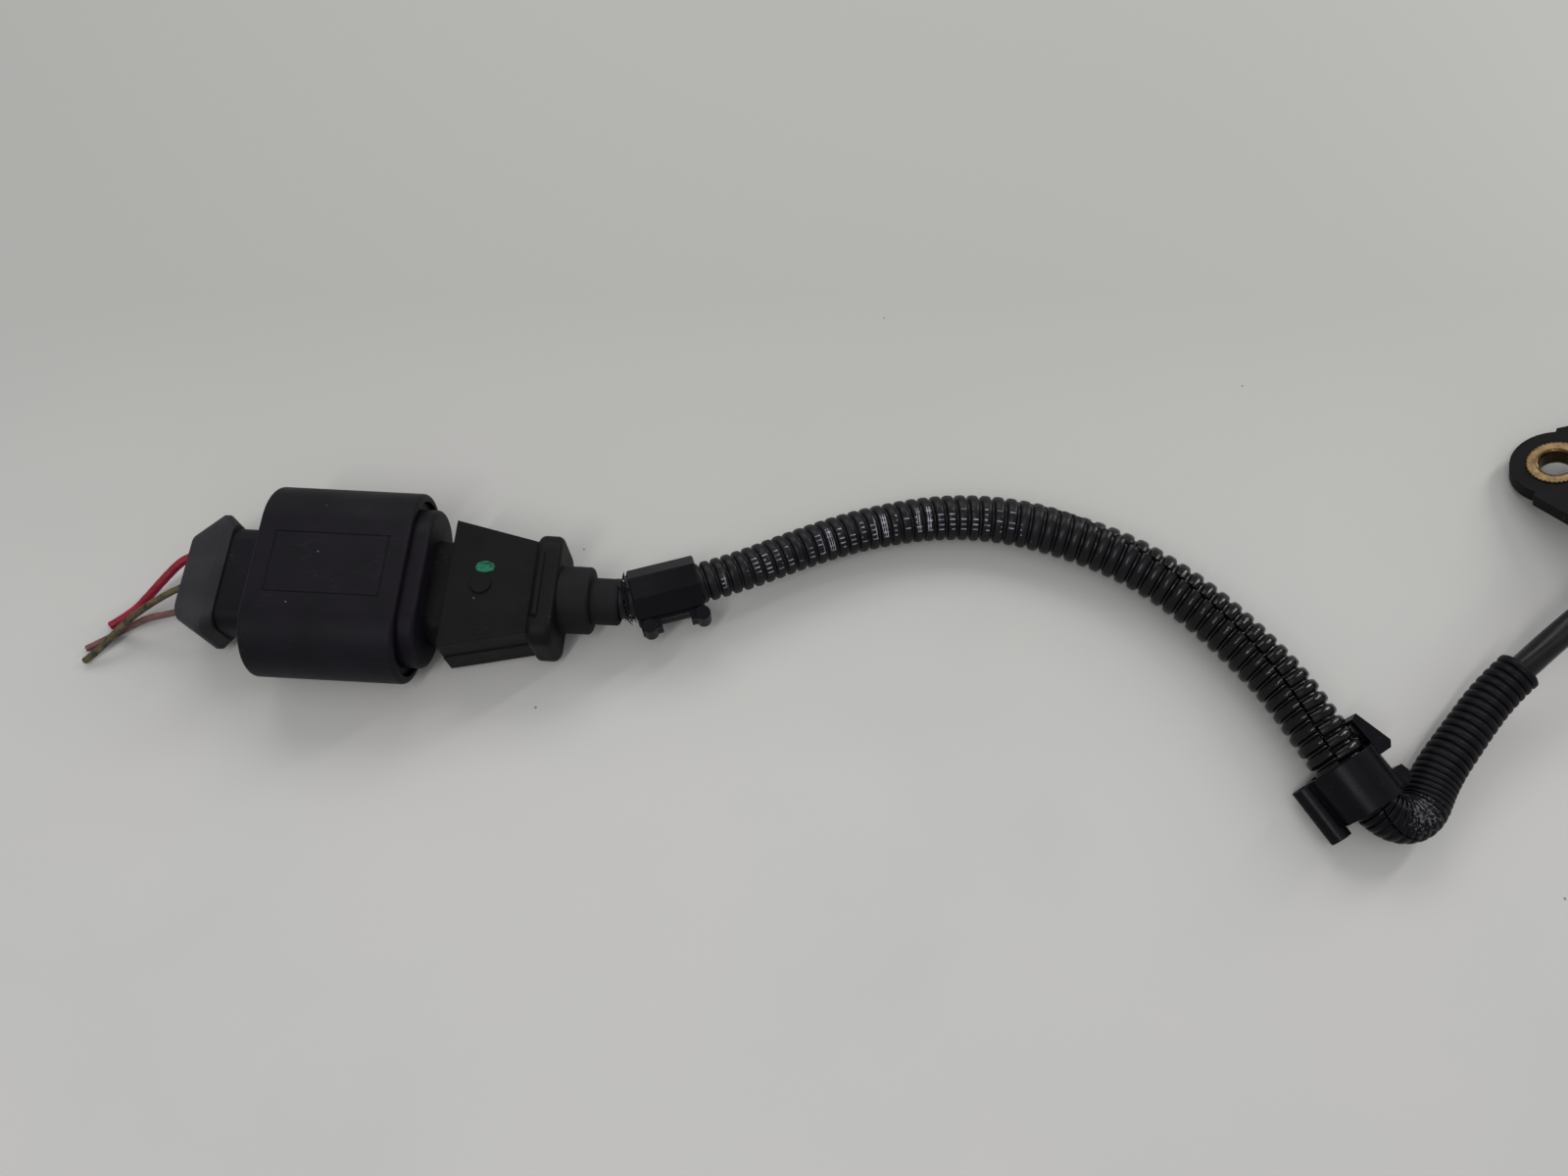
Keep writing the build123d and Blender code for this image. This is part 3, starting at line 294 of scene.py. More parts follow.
def spline_points(route, steps):
    """Points along the smooth line that a list of control points gives."""
    curve = bpy.data.curves.new("route", "CURVE")
    curve.dimensions = "3D"
    curve.resolution_u = steps
    spline = curve.splines.new("NURBS")
    spline.points.add(len(route) - 1)
    for point, place in zip(spline.points, route):
        point.co = (*place, 1.0)
    spline.order_u = 3
    spline.use_endpoint_u = True
    holder = bpy.data.objects.new("route", curve)
    bpy.context.scene.collection.objects.link(holder)
    mesh = bpy.data.meshes.new_from_object(holder)
    points = np.array([v.co for v in mesh.vertices], float)
    bpy.data.objects.remove(holder)
    bpy.data.curves.remove(curve)
    bpy.data.meshes.remove(mesh)
    return points


class Line:
    """A smooth line that is read by the length along it."""

    STEPS = 32
    PROBE = 0.3 * MM
    BEND_PROBE = 2.5 * MM

    def __init__(self, route):
        self.points = spline_points(route, self.STEPS)
        gaps = np.linalg.norm(np.diff(self.points, axis=0), axis=1)
        self.lengths = np.concatenate([[0.0], np.cumsum(gaps)])
        self.total = float(self.lengths[-1])

    def at(self, along):
        columns = [np.interp(along, self.lengths, self.points[:, i]) for i in range(3)]
        return np.stack(columns, axis=-1)

    def near(self, place):
        """The length along the line at its point nearest to a place."""
        away = np.linalg.norm(self.points - np.array(place), axis=1)
        return float(self.lengths[np.argmin(away)])

    def graded(self, table, here, scale):
        """Reads a table of (X in millimetres, value) at lengths along the line."""
        columns = np.array(table, float).T
        return scale * np.interp(self.at(here)[..., 0] / MM, columns[0], columns[1])

    def stretch(self, start, end, count=80):
        """Points of the line between two lengths."""
        return self.at(np.linspace(start, end, count))

    def beside(self, along, probe):
        """Points of the line a little behind and ahead of each length."""
        behind = self.at(np.maximum(along - probe, 0.0))
        ahead = self.at(np.minimum(along + probe, self.total))
        return behind, ahead

    def frames(self, along):
        """Direction, upper side and right side at each length."""
        behind, ahead = self.beside(along, self.PROBE)
        direction = unit(ahead - behind)
        up = np.zeros_like(direction)
        up[..., 2] = 1.0
        up = unit(up - direction * np.sum(up * direction, axis=-1, keepdims=True))
        return direction, up, np.cross(direction, up)

    def outward(self, along, angle):
        """Direction away from the line at each length and angle."""
        _, up, right = self.frames(along)
        return np.cos(angle)[..., None] * up + np.sin(angle)[..., None] * right

    def bend_towards(self, along, out):
        """One over the bend's radius at each length, as far as it turns towards out."""
        behind, ahead = self.beside(along, self.BEND_PROBE)
        bend = (ahead + behind - 2 * self.at(along)) / self.BEND_PROBE**2
        return np.sum(bend * out, axis=-1)


# Meshes


def make_object(name, points, faces, material):
    mesh = bpy.data.meshes.new(name)
    mesh.from_pydata([tuple(p) for p in points], [], faces)
    mesh.materials.append(material)
    mesh.update()
    mesh.shade_smooth()
    mesh.set_sharp_from_angle(angle=SHARP_ANGLE)
    obj = bpy.data.objects.new(name, mesh)
    bpy.context.scene.collection.objects.link(obj)
    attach(obj, "root")
    return obj


def skin_faces(rings, columns, closed):
    """Quads between each ring and the next, and from the last to the first if closed."""
    last = rings if closed else rings - 1
    faces = []
    for i in range(last):
        here, there = i * columns, ((i + 1) % rings) * columns
        for j in range(columns):
            k = (j + 1) % columns
            faces.append((here + j, here + k, there + k, there + j))
    return faces


def solid_faces(rings, columns, base=0):
    """Faces of a tube that is closed by its first and last ring; base is its first point."""
    faces = skin_faces(rings, columns, False)
    faces.append(tuple(range(columns))[::-1])
    faces.append(tuple(range((rings - 1) * columns, rings * columns)))
    return [tuple(base + corner for corner in face) for face in faces]


def round_points(line, along, angle, radius, pinch=PINCH):
    """Points at an angle and a radius round the line, kept out of a bend's inside."""
    out = line.outward(along, angle)
    inward = np.maximum(line.bend_towards(along, out), LEAST_BEND)
    return line.at(along) + np.minimum(radius, pinch / inward)[..., None] * out


def bore_points(line, along, angle, bore):
    """Points and marks of a tube's hole, from its last ring back to its first."""
    bore_step = 2 * MM
    count = max(3, int((along[-1, 0] - along[0, 0]) / bore_step))
    back = np.linspace(1.0, 0.0, count)
    inner_along = along[0] + back[:, None] * (along[-1] - along[0])
    rings = len(along)
    ring = np.interp(back, np.linspace(0, 1, rings), np.arange(rings))
    inner_angle = angle[np.round(ring).astype(int)]
    radius = np.full(inner_along.shape, bore)
    points = round_points(line, inner_along, inner_angle, radius, PINCH_BORE)
    return points, np.stack([inner_along, np.cos(inner_angle), np.sin(inner_angle)], axis=-1)


def tube(name, line, along, angle, radius, bore, material, height=1.0):
    """A tube from grids of length, angle and radius; bore is its hole's radius or None.

    Its tube_place attribute holds the length along it and height's parts upward and
    to the right; height is 1 on the crest of a rib and near 0 in the groove.
    """
    points = round_points(line, along, angle, radius)
    rings, columns = along.shape
    marks = np.stack([along, height * np.cos(angle), height * np.sin(angle)], axis=-1)
    if bore is None:
        faces = solid_faces(rings, columns)
    else:
        inner, inner_marks = bore_points(line, along, angle, bore)
        points = np.concatenate([points, inner])
        marks = np.concatenate([marks, inner_marks])
        faces = skin_faces(len(points), columns, True)
    obj = make_object(name, points.reshape(-1, 3), faces, material)
    marked = obj.data.attributes.new("tube_place", "FLOAT_VECTOR", "POINT")
    marked.data.foreach_set("vector", marks.reshape(-1).astype(np.float32))
    return obj


def round_grid(lengths, columns):
    """Grids of length and angle for rings at some lengths along a line."""
    turn = np.linspace(0.0, TAU, columns, endpoint=False)
    along = np.repeat(lengths[:, None], columns, axis=1)
    angle = np.repeat(turn[None, :], len(lengths), axis=0)
    return along, angle


def even_tube(name, line, radius, cores, material, columns=32, step=0.8 * MM):
    """A solid round cord along a whole line, with its cores showing through."""
    rise, count, twist = cores
    along, angle = round_grid(np.linspace(0.0, line.total, int(line.total / step)), columns)
    wave = 0.5 - 0.5 * np.cos(count * (angle - twist * along))
    return tube(name, line, along, angle, radius - rise * wave, None, material)


def rib_grid(start, end, pitch_at):
    """Lengths, rib heights and pitches of the rings of a corrugated stretch."""
    lengths, heights, pitches = [], [], []
    here = start
    while here < end:
        pitch = pitch_at(here)
        for share, height in RIB_PROFILE:
            lengths.append(here + share * pitch)
            heights.append(height)
            pitches.append(pitch)
        here += pitch
    return np.array(lengths), np.array(heights), np.array(pitches)


def conduit(name, line, start, end, look, material):
    """A split corrugated tube; look says how its ribs and seam run along it.

    seam_gap is half the angle that the seam takes, seam_depth is how far it lies
    under the grooves, rib_offset is how many pitches the ribs miss each other by at
    the seam, and tuck and tuck_reach are how far and over what angle one lip sinks.
    """
    lengths, heights, pitches = rib_grid(start, end, look["pitch"])
    heights = heights[:, None]
    seam_gap = look["seam_gap"]
    turn = np.linspace(seam_gap, TAU - seam_gap, look["columns"])
    turn = np.append(turn, TAU)
    shear = look["rib_offset"] * (turn / TAU - 0.5)
    shear[-1] = 0.0
    along = lengths[:, None] + shear[None, :] * pitches[:, None]
    tears = look["ragged"] * np.random.default_rng(TEAR_SEED).random(len(turn)) ** 2
    along[-1] += tears
    angle = look["seam_angle"](lengths)[:, None] + turn[None, :]
    crest, depth = look["crest"](lengths)[:, None], look["depth"](lengths)[:, None]
    inward = crest * line.bend_towards(along, line.outward(along, angle))
    radius = crest - depth * (1 - heights) * (1 - smooth_step(inward, *RIB_FADE))
    radius -= look["tuck"] * (1 - smooth_step(turn, 0.0, look["tuck_reach"]))[None, :]
    radius[:, -1] = (crest - depth)[:, 0] - look["seam_depth"]
    radius[-1] += RAGGED_FLARE * tears
    groove_mark = 0.01
    return tube(
        name, line, along, angle, radius, look["bore"], material, groove_mark + heights
    )


def needle(centres, radii, first, second, sides):
    """Points of a thin tube with a ring round each centre, in the plane of two directions."""
    turn = np.linspace(0, TAU, sides, endpoint=False)[:, None]
    ring = np.cos(turn) * first + np.sin(turn) * second
    points = centres[:, None] + radii[:, None, None] * ring
    return points.reshape(-1, 3)


def make_bundle(name, needles, sides, material):
    """One object of thin closed tubes, each given by its points in rings of some sides."""
    faces = []
    base = 0
    for points in needles:
        faces += solid_faces(len(points) // sides, sides, base)
        base += len(points)
    return make_object(name, np.concatenate(needles), faces, material)


# Materials


def colour(red, green, blue):
    """Linear colour from 0..255 values as seen on a screen."""
    parts = [c / 255 for c in (red, green, blue)]
    linear = [p / 12.92 if p <= 0.04045 else ((p + 0.055) / 1.055) ** 2.4 for p in parts]
    return (*linear, 1.0)


class Shader:
    """A material of procedural nodes round one principled shader."""

    def __init__(self, name, **values):
        self.material = bpy.data.materials.new(name)
        self.material.use_nodes = True
        self.tree = self.material.node_tree
        self.surface = self.tree.nodes["Principled BSDF"]
        for socket, value in values.items():
            self.surface.inputs[socket.replace("_", " ")].default_value = value
        self.place = self.add("ShaderNodeTexCoord").outputs["Object"]

    def add(self, kind, **settings):
        node = self.tree.nodes.new(kind)
        for key, value in settings.items():
            setattr(node, key, value)
        return node

    def feed(self, socket, value):
        if isinstance(value, bpy.types.NodeSocket):
            self.tree.links.new(value, socket)
        else:
            socket.default_value = value

    def set(self, socket, value):
        self.feed(self.surface.inputs[socket], value)

    def math(self, operation, *values):
        node = self.add("ShaderNodeMath", operation=operation)
        for socket, value in zip(node.inputs, values):
            self.feed(socket, value)
        return node.outputs[0]

    def times(self, first, second):
        return self.math("MULTIPLY", first, second)

    def above(self, value, limit):
        """1 where the value is above the limit, 0 elsewhere."""
        return self.math("GREATER_THAN", value, limit)

    def below(self, value, limit):
        """1 where the value is below the limit, 0 elsewhere."""
        return self.math("LESS_THAN", value, limit)

    def span(self, value, low, high, to_low=0.0, to_high=1.0):
        """Maps low..high to to_low..to_high and stays there beyond."""
        node = self.add("ShaderNodeMapRange", clamp=True)
        for socket, number in zip(node.inputs[:5], (value, low, high, to_low, to_high)):
            self.feed(socket, number)
        return node.outputs[0]

    def vector_math(self, operation, first, second=None):
        node = self.add("ShaderNodeVectorMath", operation=operation)
        self.feed(node.inputs[0], first)
        if second is not None:
            self.feed(node.inputs[1], second)
        return node.outputs["Value" if operation == "LENGTH" else "Vector"]

    def part(self, vector, letter):
        node = self.add("ShaderNodeSeparateXYZ")
        self.feed(node.inputs[0], vector)
        return node.outputs[letter]

    def measure(self, place, size):
        """Distance from a place, in shares of an ellipsoid's half axes."""
        away = self.vector_math("SUBTRACT", self.place, place)
        return self.vector_math("LENGTH", self.vector_math("DIVIDE", away, size))

    def stretched(self, scale, turn=(0, 0, 0)):
        """The place, turned and with its axes scaled."""
        node = self.add("ShaderNodeMapping")
        self.feed(node.inputs["Vector"], self.place)
        node.inputs["Scale"].default_value = scale
        node.inputs["Rotation"].default_value = turn
        return node.outputs[0]

    def noise(self, scale, detail=3.0, roughness=0.55, place=None):
        node = self.add("ShaderNodeTexNoise")
        self.feed(node.inputs["Vector"], place or self.place)
        node.inputs["Scale"].default_value = scale
        node.inputs["Detail"].default_value = detail
        node.inputs["Roughness"].default_value = roughness
        return node.outputs["Fac"]

    def cells(self, scale):
        """Distance from the middle of the nearest cell, and the cell's own colour."""
        node = self.add("ShaderNodeTexVoronoi")
        self.feed(node.inputs["Vector"], self.place)
        node.inputs["Scale"].default_value = scale
        return node.outputs["Distance"], node.outputs["Color"]

    def cell_chance(self, column, row):
        """A random number for each cell of a grid."""
        cell = self.add("ShaderNodeCombineXYZ")
        self.feed(cell.inputs["X"], self.math("FLOOR", column))
        self.feed(cell.inputs["Y"], self.math("FLOOR", row))
        chance = self.add("ShaderNodeTexWhiteNoise", noise_dimensions="2D")
        self.feed(chance.inputs["Vector"], cell.outputs[0])
        return chance.outputs["Value"]

    def blend(self, share, first, second):
        """Between two numbers by share."""
        node = self.add("ShaderNodeMix", data_type="FLOAT")
        self.feed(node.inputs[0], share)
        self.feed(node.inputs[2], first)
        self.feed(node.inputs[3], second)
        return node.outputs[0]

    def mix(self, share, first, second):
        """Between two colours by share."""
        node = self.add("ShaderNodeMix", data_type="RGBA")
        self.feed(node.inputs[0], share)
        self.feed(node.inputs[6], first)
        self.feed(node.inputs[7], second)
        return node.outputs[2]

    def bump(self, height, distance, strength, under=None):
        """A normal for height times distance, on top of another normal if given."""
        node = self.add("ShaderNodeBump")
        self.feed(node.inputs["Height"], height)
        node.inputs["Distance"].default_value = distance
        node.inputs["Strength"].default_value = strength
        if under is not None:
            self.feed(node.inputs["Normal"], under)
        return node.outputs[0]

    def rounded(self, radius):
        """A normal that rounds sharp edges."""
        node = self.add("ShaderNodeBevel", samples=4)
        node.inputs["Radius"].default_value = radius
        return node.outputs[0]


def dust(shader, scale, share, size):
    """Sparse small specks: 1 on a speck, 0 beside it."""
    distance, tint = shader.cells(scale)
    pick = shader.above(shader.part(tint, "X"), 1 - share)
    near = shader.span(distance, size * 0.5, size, 1.0, 0.0)
    return shader.times(pick, near)


def scratches(shader, scale, stretch, turn):
    """Thin broken lines: 1 on a scratch, 0 beside it."""
    place = shader.stretched((scale, scale * stretch, scale * stretch), turn)
    ridges = shader.noise(scale=1.0, detail=2.0, roughness=0.5, place=place)
    from_ridge = shader.math("ABSOLUTE", shader.math("SUBTRACT", ridges, 0.5))
    thin_line = shader.span(from_ridge, 0.0, 0.008, 1.0, 0.0)
    mask = shader.span(shader.noise(scale=140.0, detail=2.0), 0.56, 0.66)
    return shader.times(thin_line, mask)


def paint_dab(shader):
    """1 inside an oval dab of paint with an uneven edge, and less where it is scraped."""
    edge = shader.times(shader.noise(scale=700.0, detail=3.0), 0.5)
    far = shader.math("ADD", shader.measure(PAINT_DAB_SPOT, PAINT_DAB_SIZE), edge)
    inside = shader.span(far, 1.12, 1.2, 1.0, 0.0)
    place = shader.stretched((500.0, 1400.0, 500.0), (0, 0, 0.5))
    streaks = shader.noise(scale=1.0, detail=3.0, roughness=0.6, place=place)
    return shader.times(inside, shader.span(streaks, 0.5, 0.62, 0.9, 0.15))


def dotted_print(shader):
    """Rows of pale dashes and blocks of strokes on the ribs' crests, with no meaning."""
    tube_place = shader.add("ShaderNodeAttribute", attribute_name="tube_place").outputs["Vector"]
    along, up, right = [shader.part(tube_place, letter) for letter in "XYZ"]
    rows = shader.span(shader.math("ARCTAN2", right, up), *PRINT_ANGLES, 0.0, PRINT_ROWS)
    signs = shader.times(along, 1 / PRINT_SIGN)
    strokes = shader.times(along, 1 / PRINT_STROKE)
    on_row = shader.below(shader.math("FRACT", rows), PRINT_ROW_SHARE)
    on_stroke = shader.below(shader.math("FRACT", strokes), PRINT_STROKE_SHARE)
    dash_chance = shader.cell_chance(signs, rows)
    block_chance = shader.cell_chance(shader.times(signs, 1 / PRINT_BLOCK_SIGNS), PRINT_BLOCK_ROW)
    dashes = shader.times(on_row, shader.above(dash_chance, 1 - PRINT_DASHES))
    blocks = shader.times(on_stroke, shader.above(block_chance, 1 - PRINT_BLOCKS))
    cross_section = shader.vector_math("MULTIPLY", tube_place, (0.0, 1.0, 1.0))
    height = shader.vector_math("LENGTH", cross_section)
    x = shader.part(shader.place, "X")
    masks = [
        shader.above(rows, PRINT_ROW_MARGIN),
        shader.below(rows, PRINT_ROWS - PRINT_ROW_MARGIN),
        shader.span(height, 0.86, 0.97),
        shader.above(x, PRINT_SPAN[0]),
        shader.below(x, PRINT_SPAN[1]),
        shader.span(shader.noise(scale=75.0, detail=1.0), 0.42, 0.48),
        shader.span(shader.noise(scale=900.0, detail=3.0), 0.35, 0.62, 0.2, 1.0),
    ]
    lines = shader.math("MAXIMUM", dashes, blocks)
    for mask in masks:
        lines = shader.times(lines, mask)
    return lines


def moulded(name, base, worn, rough=(0.42, 0.58), level=0.1, dab=None):
    """Moulded plastic: fine grain, uneven gloss, scuffs, dust and perhaps a dab of paint."""
    shader = Shader(name, Specular_IOR_Level=level)
    patches = shader.noise(scale=90.0, detail=4.0)
    scuffs = scratches(shader, scale=260.0, stretch=5.0, turn=(0.3, 0.2, 0.5))
    specks = dust(shader, scale=620.0, share=0.03, size=0.13)
    tint = shader.mix(shader.span(patches, 0.35, 0.75), base, worn)
    tint = shader.mix(shader.times(scuffs, 0.12), tint, colour(120, 118, 120))
    tint = shader.mix(shader.times(specks, 0.4), tint, colour(150, 148, 145))
    if dab:
        tint = shader.mix(paint_dab(shader), tint, colour(*dab))
    shader.set("Base Color", tint)
    gloss = shader.span(shader.noise(scale=60.0, detail=5.0), 0.3, 0.7, *rough)
    shader.set("Roughness", shader.math("ADD", gloss, shader.times(specks, 0.2)))
    edges = shader.rounded(0.3 * MM)
    waves = shader.noise(scale=420.0, detail=3.0)
    grain = shader.noise(scale=2600.0, detail=2.0)
    soft = shader.bump(waves, distance=0.02 * MM, strength=0.6, under=edges)
    shader.set("Normal", shader.bump(grain, distance=0.02 * MM, strength=1.0, under=soft))
    return shader.material


def ribbed_plastic(name, base, worn, level):
    """Conduit plastic: dull at the plug's end, oily and shiny towards the fold."""
    shader = Shader(name, Specular_IOR_Level=level)
    x = shader.part(shader.place, "X")
    oily = shader.times(shader.span(x, *OIL_BEGINS), shader.span(x, *OIL_ENDS, 1.0, 0.0))
    patches = shader.noise(scale=150.0, detail=4.0)
    clean = shader.mix(shader.span(patches, 0.4, 0.7), base, worn)
    tint = shader.mix(oily, clean, colour(4, 3, 5))
    specks = dust(shader, scale=900.0, share=0.05, size=0.16)
    tint = shader.mix(shader.times(specks, 0.35), tint, colour(140, 138, 138))
    # Stress whitening with a painted sheen: a lighter speckled patch inside the fold, strongest at its
    # middle
    from_fold = shader.measure(FOLD_WEAR_AND_SHEEN_SPOT, FOLD_WEAR_AND_SHEEN_SIZE)
    crazing_and_sheen_noise = shader.noise(scale=1500.0, detail=3.0, roughness=0.7)
    whitening_and_sheen = shader.above(crazing_and_sheen_noise, shader.span(from_fold, 0.3, 1.0, 0.5, 0.7))
    inside_fold = shader.span(from_fold, 0.6, 1.0, 0.8, 0.0)
    tint = shader.mix(shader.times(whitening_and_sheen, inside_fold), tint, colour(82, 82, 85))
    tint = shader.mix(shader.times(dotted_print(shader), 0.85), tint, colour(165, 163, 174))
    shader.set("Base Color", tint)
    dull = shader.span(patches, 0.3, 0.7, 0.36, 0.5)
    wet = shader.span(shader.noise(scale=700.0, detail=3.0), 0.35, 0.7, 0.1, 0.22)
    shader.set("Roughness", shader.blend(oily, dull, wet))
    grain = shader.noise(scale=900.0, detail=3.0)
    film = shader.times(shader.noise(scale=520.0, detail=4.0, roughness=0.6), oily)
    fine = shader.bump(grain, distance=0.03 * MM, strength=0.7)
    shader.set("Normal", shader.bump(film, distance=0.16 * MM, strength=0.8, under=fine))
    return shader.material


def rubber(name, base, worn, rough=(0.6, 0.78), level=0.15):
    """Rubber or a soft jacket with a fine uneven skin."""
    shader = Shader(name, Specular_IOR_Level=level)
    patches = shader.noise(scale=220.0, detail=4.0)
    shader.set("Base Color", shader.mix(shader.span(patches, 0.4, 0.7), base, worn))
    shader.set("Roughness", shader.span(patches, 0.3, 0.7, *rough))
    skin = shader.noise(scale=1800.0, detail=3.0)
    shader.set("Normal", shader.bump(skin, distance=0.04 * MM, strength=0.8))
    return shader.material


def cloth(name, base, worn):
    """Cloth tape with a fine weave."""
    shader = Shader(name, Specular_IOR_Level=0.25)
    shader.set("Base Color", shader.mix(shader.noise(scale=800.0), base, worn))
    shader.set("Roughness", shader.span(shader.noise(scale=500.0), 0.3, 0.7, 0.7, 0.95))
    weave = shader.add("ShaderNodeTexWave", wave_type="BANDS")
    shader.feed(weave.inputs["Vector"], shader.place)
    weave.inputs["Scale"].default_value = 900.0
    weave.inputs["Distortion"].default_value = 2.0
    shader.set("Normal", shader.bump(weave.outputs["Fac"], distance=0.06 * MM, strength=0.8))
    return shader.material


def wire_plastic(name, base, worn, spread):
    """Wire insulation with handling grime; spread is how softly the grime begins."""
    shader = Shader(name, Specular_IOR_Level=0.25)
    patches = shader.noise(scale=420.0, detail=5.0, roughness=0.65)
    grime = shader.span(patches, 0.5 - spread, 0.5 + spread)
    shader.set("Base Color", shader.mix(grime, base, worn))
    gloss = shader.noise(scale=900.0, detail=3.0)
    shader.set("Roughness", shader.span(gloss, 0.3, 0.7, 0.34, 0.55))
    skin = shader.noise(scale=1500.0, detail=3.0)
    shader.set("Normal", shader.bump(skin, distance=0.03 * MM, strength=0.7))
    return shader.material


def metal(name, base, worn, rough=(0.22, 0.4)):
    """Metal with patches of tarnish and fine turning marks."""
    shader = Shader(name, Metallic=1.0)
    patches = shader.noise(scale=500.0, detail=5.0, roughness=0.6)
    shader.set("Base Color", shader.mix(shader.span(patches, 0.35, 0.7), base, worn))
    shader.set("Roughness", shader.span(patches, 0.3, 0.7, *rough))
    place = shader.stretched((900.0, 900.0, 5200.0))
    turned = shader.noise(scale=1.0, detail=3.0, roughness=0.5, place=place)
    edges = shader.rounded(0.45 * MM)
    shader.set("Normal", shader.bump(turned, distance=0.015 * MM, strength=0.7, under=edges))
    return shader.material


def table_top(name):
    """Pale laminate, darker towards its far side by painted shade, with a few dark specks."""
    shader = Shader(name, Specular_IOR_Level=0.3, Roughness=0.62)
    patches = shader.span(shader.noise(scale=9.0, detail=4.0), 0.3, 0.7)
    tint = shader.mix(patches, colour(177, 178, 174), colour(184, 181, 179))
    # Painted shade: the table's colour darkens towards its far side, by place along Y
    far = shader.span(shader.part(shader.place, "Y"), *TABLE_SHADED_FAR)
    tint = shader.mix(far, tint, colour(162, 162, 158))
    specks = dust(shader, scale=130.0, share=0.03, size=0.05)
    shader.set("Base Color", shader.mix(shader.times(specks, 0.7), tint, colour(70, 66, 60)))
    return shader.material


# How each finish is made: its function, its colour, its worn or grimy colour and
# what it has of its own. All but the last two are the record's material slots.
FINISHES = {
    "head_plastic": (moulded, (5, 4, 5), (10, 9, 10), {"rough": (0.5, 0.66)}),
    "bush_brass": (metal, (92, 76, 52), (64, 52, 37), {"rough": (0.2, 0.36)}),
    "seal_rubber": (rubber, (14, 14, 15), (24, 23, 25), {}),
    "chip_plastic": (moulded, (28, 28, 30), (36, 36, 38), {}),
    "magnet_metal": (metal, (150, 150, 155), (110, 110, 116), {}),
    "carrier_plastic": (moulded, (60, 58, 54), (74, 72, 66), {}),
    "potting_resin": (moulded, (18, 17, 19), (26, 25, 28), {"rough": (0.25, 0.4)}),
    "contact_metal": (metal, (190, 186, 178), (150, 146, 138), {}),
    "cable_jacket": (rubber, (13, 10, 12), (20, 16, 18), {"rough": (0.24, 0.34), "level": 0.2}),
    "conduit_plastic": (ribbed_plastic, (7, 6, 9), (15, 13, 18), {"level": 0.2}),
    "cloth_tape": (cloth, (14, 13, 15), (28, 26, 30), {}),
    "wire_red": (wire_plastic, (152, 16, 50), (96, 14, 26), {"spread": 0.25}),
    "wire_grey": (wire_plastic, (88, 80, 50), (28, 27, 21), {"spread": 0.14}),
    "wire_brown": (wire_plastic, (106, 72, 70), (66, 44, 42), {"spread": 0.2}),
    "connector_plastic": (moulded, (12, 9, 14), (19, 16, 23), {}),
    "cap_plastic": (moulded, (38, 37, 39), (50, 49, 52), {"rough": (0.45, 0.6)}),
    "plug_plastic": (moulded, (9, 8, 10), (16, 15, 17), {"rough": (0.45, 0.62), "dab": (30, 106, 78)}),
    "grommet_rubber": (rubber, (14, 13, 15), (22, 21, 24), {}),
    "clip_plastic": (moulded, (10, 8, 12), (17, 15, 20), {"rough": (0.22, 0.4), "level": 0.07}),
    "narrow_plastic": (ribbed_plastic, (7, 6, 9), (15, 13, 18), {"level": 0.1}),
    "bare_copper": (metal, (150, 100, 62), (96, 88, 52), {"rough": (0.35, 0.55)}),
}
MATERIALS = {
    name: make(name, colour(*base), colour(*worn), **own)
    for name, (make, base, worn, own) in FINISHES.items()
}


def dress_nodes():
    """Each CAD node takes the finish of its record's material slot."""
    for node in NODES.values():
        for spot in node.material_slots:
            spot.material = MATERIALS[spot.material.name.split(".")[0]]


# Camera, lamps and table


def make_camera():
    data = bpy.data.cameras.new("camera")
    data.lens = CAMERA_LENS
    data.sensor_width = SENSOR_WIDTH
    data.clip_start = CAMERA_NEAREST
    camera = bpy.data.objects.new("camera", data)
    camera.location = CAMERA_PLACE
    camera.rotation_euler = (CAMERA_TILT, 0.0, 0.0)
    bpy.context.scene.collection.objects.link(camera)
    bpy.context.scene.camera = camera


def make_lamps():
    for name, (place, size, power, tint) in LAMPS.items():
        data = bpy.data.lights.new(name, "AREA")
        data.shape = "RECTANGLE"
        data.size, data.size_y = size
        data.energy = power
        data.color = tint
        lamp = bpy.data.objects.new(name, data)
        lamp.location = place
        lamp.rotation_euler = (Vector(LIT_SPOT) - Vector(place)).to_track_quat("-Z", "Y").to_euler()
        bpy.context.scene.collection.objects.link(lamp)


def make_world():
    """Even pale surroundings."""
    world = bpy.data.worlds.new("studio")
    bpy.context.scene.world = world
    world.use_nodes = True
    light = world.node_tree.nodes["Background"]
    light.inputs["Color"].default_value = SURROUNDINGS_COLOUR
    light.inputs["Strength"].default_value = SURROUNDINGS_STRENGTH


def make_table():
    mesh = bpy.data.meshes.new("table")
    sides = [(-1, -1), (1, -1), (1, 1), (-1, 1)]
    corners = [(x * TABLE_REACH, y * TABLE_REACH, 0) for x, y in sides]
    mesh.from_pydata(corners, [], [(0, 1, 2, 3)])
    mesh.materials.append(table_top("table_top"))
    table = bpy.data.objects.new("table", mesh)
    bpy.context.scene.collection.objects.link(table)


# Cords


